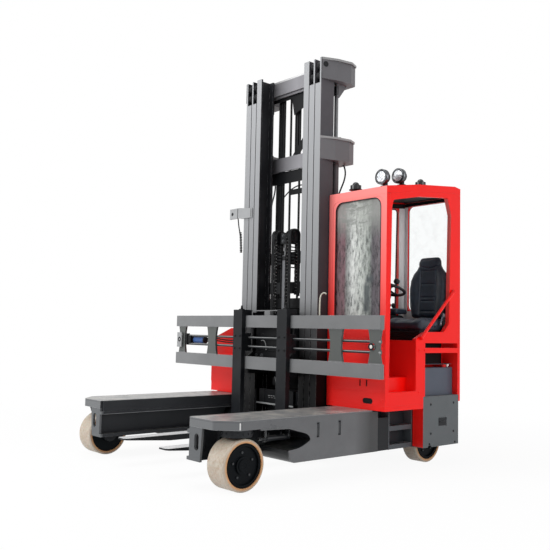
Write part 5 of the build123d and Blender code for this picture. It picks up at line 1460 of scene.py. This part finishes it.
# Positioner frame: two thick grey bars across the truck, joined by waisted plates, that carry the forks.
# Plated spindles, turned by a small motor at the right end, push the forks apart or together.
bar_low, bar_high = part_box("positioner_frame")
bar_grey = paint("bar_grey", seen(122, 123, 124), 0.40, uneven=0.10, rub_and_glint_colour=seen(190, 190, 192), dust=0.3,
                 shine=0.3, fades=[("X", -1.3, 0.4, 1.10, 0.86)],
                 bands=[("Z", 0.862, 1.106, seen(88, 91, 89))])
dress(bar_grey, "positioner_frame")
# painted highlight: a pale band along the top of each dark spindle
spindle_steel = paint("spindle_steel", seen(52, 54, 56), 0.35, uneven=0.05, soft_edge=0.0008,
                      bands=[("Z", 1.0235, 1.0275, seen(170, 171, 170)),
                             ("Z", 0.9435, 0.9475, seen(170, 171, 170))])
dress(spindle_steel, "positioner_spindles")
bar_face = tips_y + 1.196
spindle_heights = (1.021, 0.941)
bearings = []
for x in (-1.297, -0.757, 0.870, 1.285):
    for z in spindle_heights:
        bearings.append(turned_ring([(-0.018, 0.0112), (-0.018, 0.021), (-0.015, 0.023), (0.015, 0.023),
                                     (0.018, 0.021), (0.018, 0.0112)], (x, tips_y + 1.2393, z), LEFT, 28))
make("spindle_bearings", "positioner", bar_grey, joined(*bearings))
motor_y, motor_z = tips_y + 1.2813, 0.981
motor_blue = paint("motor_blue", seen(58, 92, 150), 0.4, uneven=0.1, rub_and_glint_colour=seen(120, 140, 180), shine=0.4)
motor = joined(
    turned_ring([(0.0, 0.0325), (0.002, 0.0365), (0.148, 0.0365), (0.152, 0.0325)],
                (-1.118, motor_y, motor_z), LEFT, 36),
    turned([(0.0, 0.034), (0.006, 0.029), (0.010, 0.014), (0.010, 0.001)],
           (-0.966, motor_y, motor_z), LEFT, 28),
)
make("motor_case", "positioner", motor_blue, motor)
gearbox = joined(
    turned_ring([(0.0, 0.0325), (0.002, 0.0395), (0.034, 0.0395), (0.038, 0.0325)],
                (-1.160, motor_y, motor_z), LEFT, 28),
    block((-1.222, -1.170), (motor_y - 0.072, motor_y - 0.036), (motor_z - 0.050, motor_z + 0.062)),
    block((-1.215, -1.120), (motor_y - 0.064, motor_y - 0.040), (motor_z - 0.030, motor_z + 0.042)),
)
make("motor_gearbox", "positioner", black_steel, gearbox, 0.002)
block_face = bar_face - 0.014
end_block = block((-1.303, -1.228), (block_face, bar_face - 0.0005), (0.907, 1.052))
make("end_block", "positioner", bracket_grey, end_block, 0.002)
make("end_block_ring", "positioner", hole_shade,
     turned_ring([(0.0, 0.012), (0.0, 0.024), (0.0012, 0.024), (0.0012, 0.012)],
                 (-1.262, block_face, 0.984), AHEAD, 28))
motor_line = [(-0.960, 0.012, 0.018), (-0.930, 0.014, 0.018), (-0.86, 0.010, 0.030), (-0.70, 0.004, 0.012),
              (-0.50, 0.004, 0.004), (-0.365, 0.004, 0)]
for i, drop in enumerate((0.0, 0.020)):
    pipe(f"motor_hose_{i}", "positioner", hose_black, [(x, y, motor_z + z - drop) for x, y, z in motor_line],
         0.006, motor_y)
pipe("bent_pipe", "positioner", pipe_steel,
     [(0.678, -0.020, 1.2185), (0.678, -0.020, 1.30), (0.680, -0.018, 1.370), (0.694, -0.008, 1.398),
      (0.716, 0.004, 1.402), (0.724, 0.008, 1.390)], 0.0065)
# bearing in the left end plate, nuts on the spindles' ends, and the plate that ties the forks' guides
end_hole = (1.250, bar_face, 0.983)
make("end_bearing_ring", "positioner", hole_shade,
     turned_ring([(0.0, 0.014), (0.0, 0.027), (0.003, 0.027), (0.003, 0.014)], end_hole, AHEAD, 32))
make("end_bearing", "positioner", knob_white,
     turned([(-0.030, 0.0150), (0.0015, 0.0150), (0.003, 0.012), (0.003, 0.001)], end_hole, AHEAD, 28))
end_nuts = joined(*[bolt((1.3160, tips_y + 1.2100, z), LEFT, 0.016, 0.014, washer=False)
                    for z in spindle_heights])
make("spindle_nuts", "positioner", zinc, end_nuts)
tie = joined(block((-0.330, 0.330), (0.0335, 0.0480), (1.2585, 1.2680)),
             block((-0.036, 0.036), (0.0052, 0.0480), (1.205, 1.2585)))
make("guide_tie", "positioner", bar_grey, tie, 0.0015)


# Forks: forged steel, sprayed black, with blades rubbed bright by loads. A claw hooks over the upper bar, and
# a nut block behind the shank runs on the spindles.
def fork_finish(name):
    """Black paint worn to bare steel on top of the blade and at the tip."""
    material, tree = new_finish(name)
    place = object_place(tree)
    part = split(tree, place)
    streaks = add_node(tree, "Mapping", {"Vector": place, "Scale": (60.0, 3.0, 60.0)}).outputs[0]
    scratch = noise(tree, streaks, 2.0, 6.0)
    cloud = noise(tree, place, 7.0, 6.0)
    up = ramped(tree, facing(tree)["Z"], 0.5, 0.9)
    low = ramped(tree, part["Z"], 0.30, 0.24)
    far = ramped(tree, part["Y"], -0.10, -0.25)
    torn = ramped(tree, cloud, 0.22, 0.34)
    worn = product(tree, up, low, far, torn)
    black = tone(tree, cloud, (0.3, seen(18, 20, 23)), (0.7, seen(28, 30, 33)))
    steel = tone(tree, scratch, (0.35, seen(206, 206, 206)), (0.65, seen(250, 250, 250)))
    body = shade_mix(tree, worn, black, steel)
    rounded = rounded_normal(tree, 0.003)
    body = shade_mix(tree, rubbed_and_glinting_edges(tree, place, rounded, 0.6), body, seen(90, 91, 93))
    metal = ramped(tree, worn, 0.0, 1.0, 0.0, 0.15)
    return finished(material, add_node(tree, "BsdfPrincipled", {
        "Base Color": body, "Roughness": 0.36, "Metallic": metal, "Specular IOR Level": 0.2,
        "Normal": bumped(tree, scratch, 0.12, 0.001, rounded)}))


fork_black = fork_finish("fork_black")
dress(fork_black, "fork_left", "fork_right")
for side, name in SIDES:
    x = side * 0.297
    catch = joined(
        block((x - 0.018, x + 0.018), (bar_face - 0.020, bar_face + 0.020), (1.2702, 1.278)),
        turned([(0, 0.012), (0.010, 0.012), (0.016, 0.009), (0.030, 0.009), (0.032, 0.006)],
               (x, bar_face, 1.277), UP, 18),
        *[bolt((x + dx, bar_face - 0.0452, z), AHEAD, 0.017, 0.007) for dx in (-0.035, 0.035)
          for z in (0.925, 1.035)],
    )
    make("fork_catch_" + name, "fork_" + name, black_steel, catch, 0.001)


low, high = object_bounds()
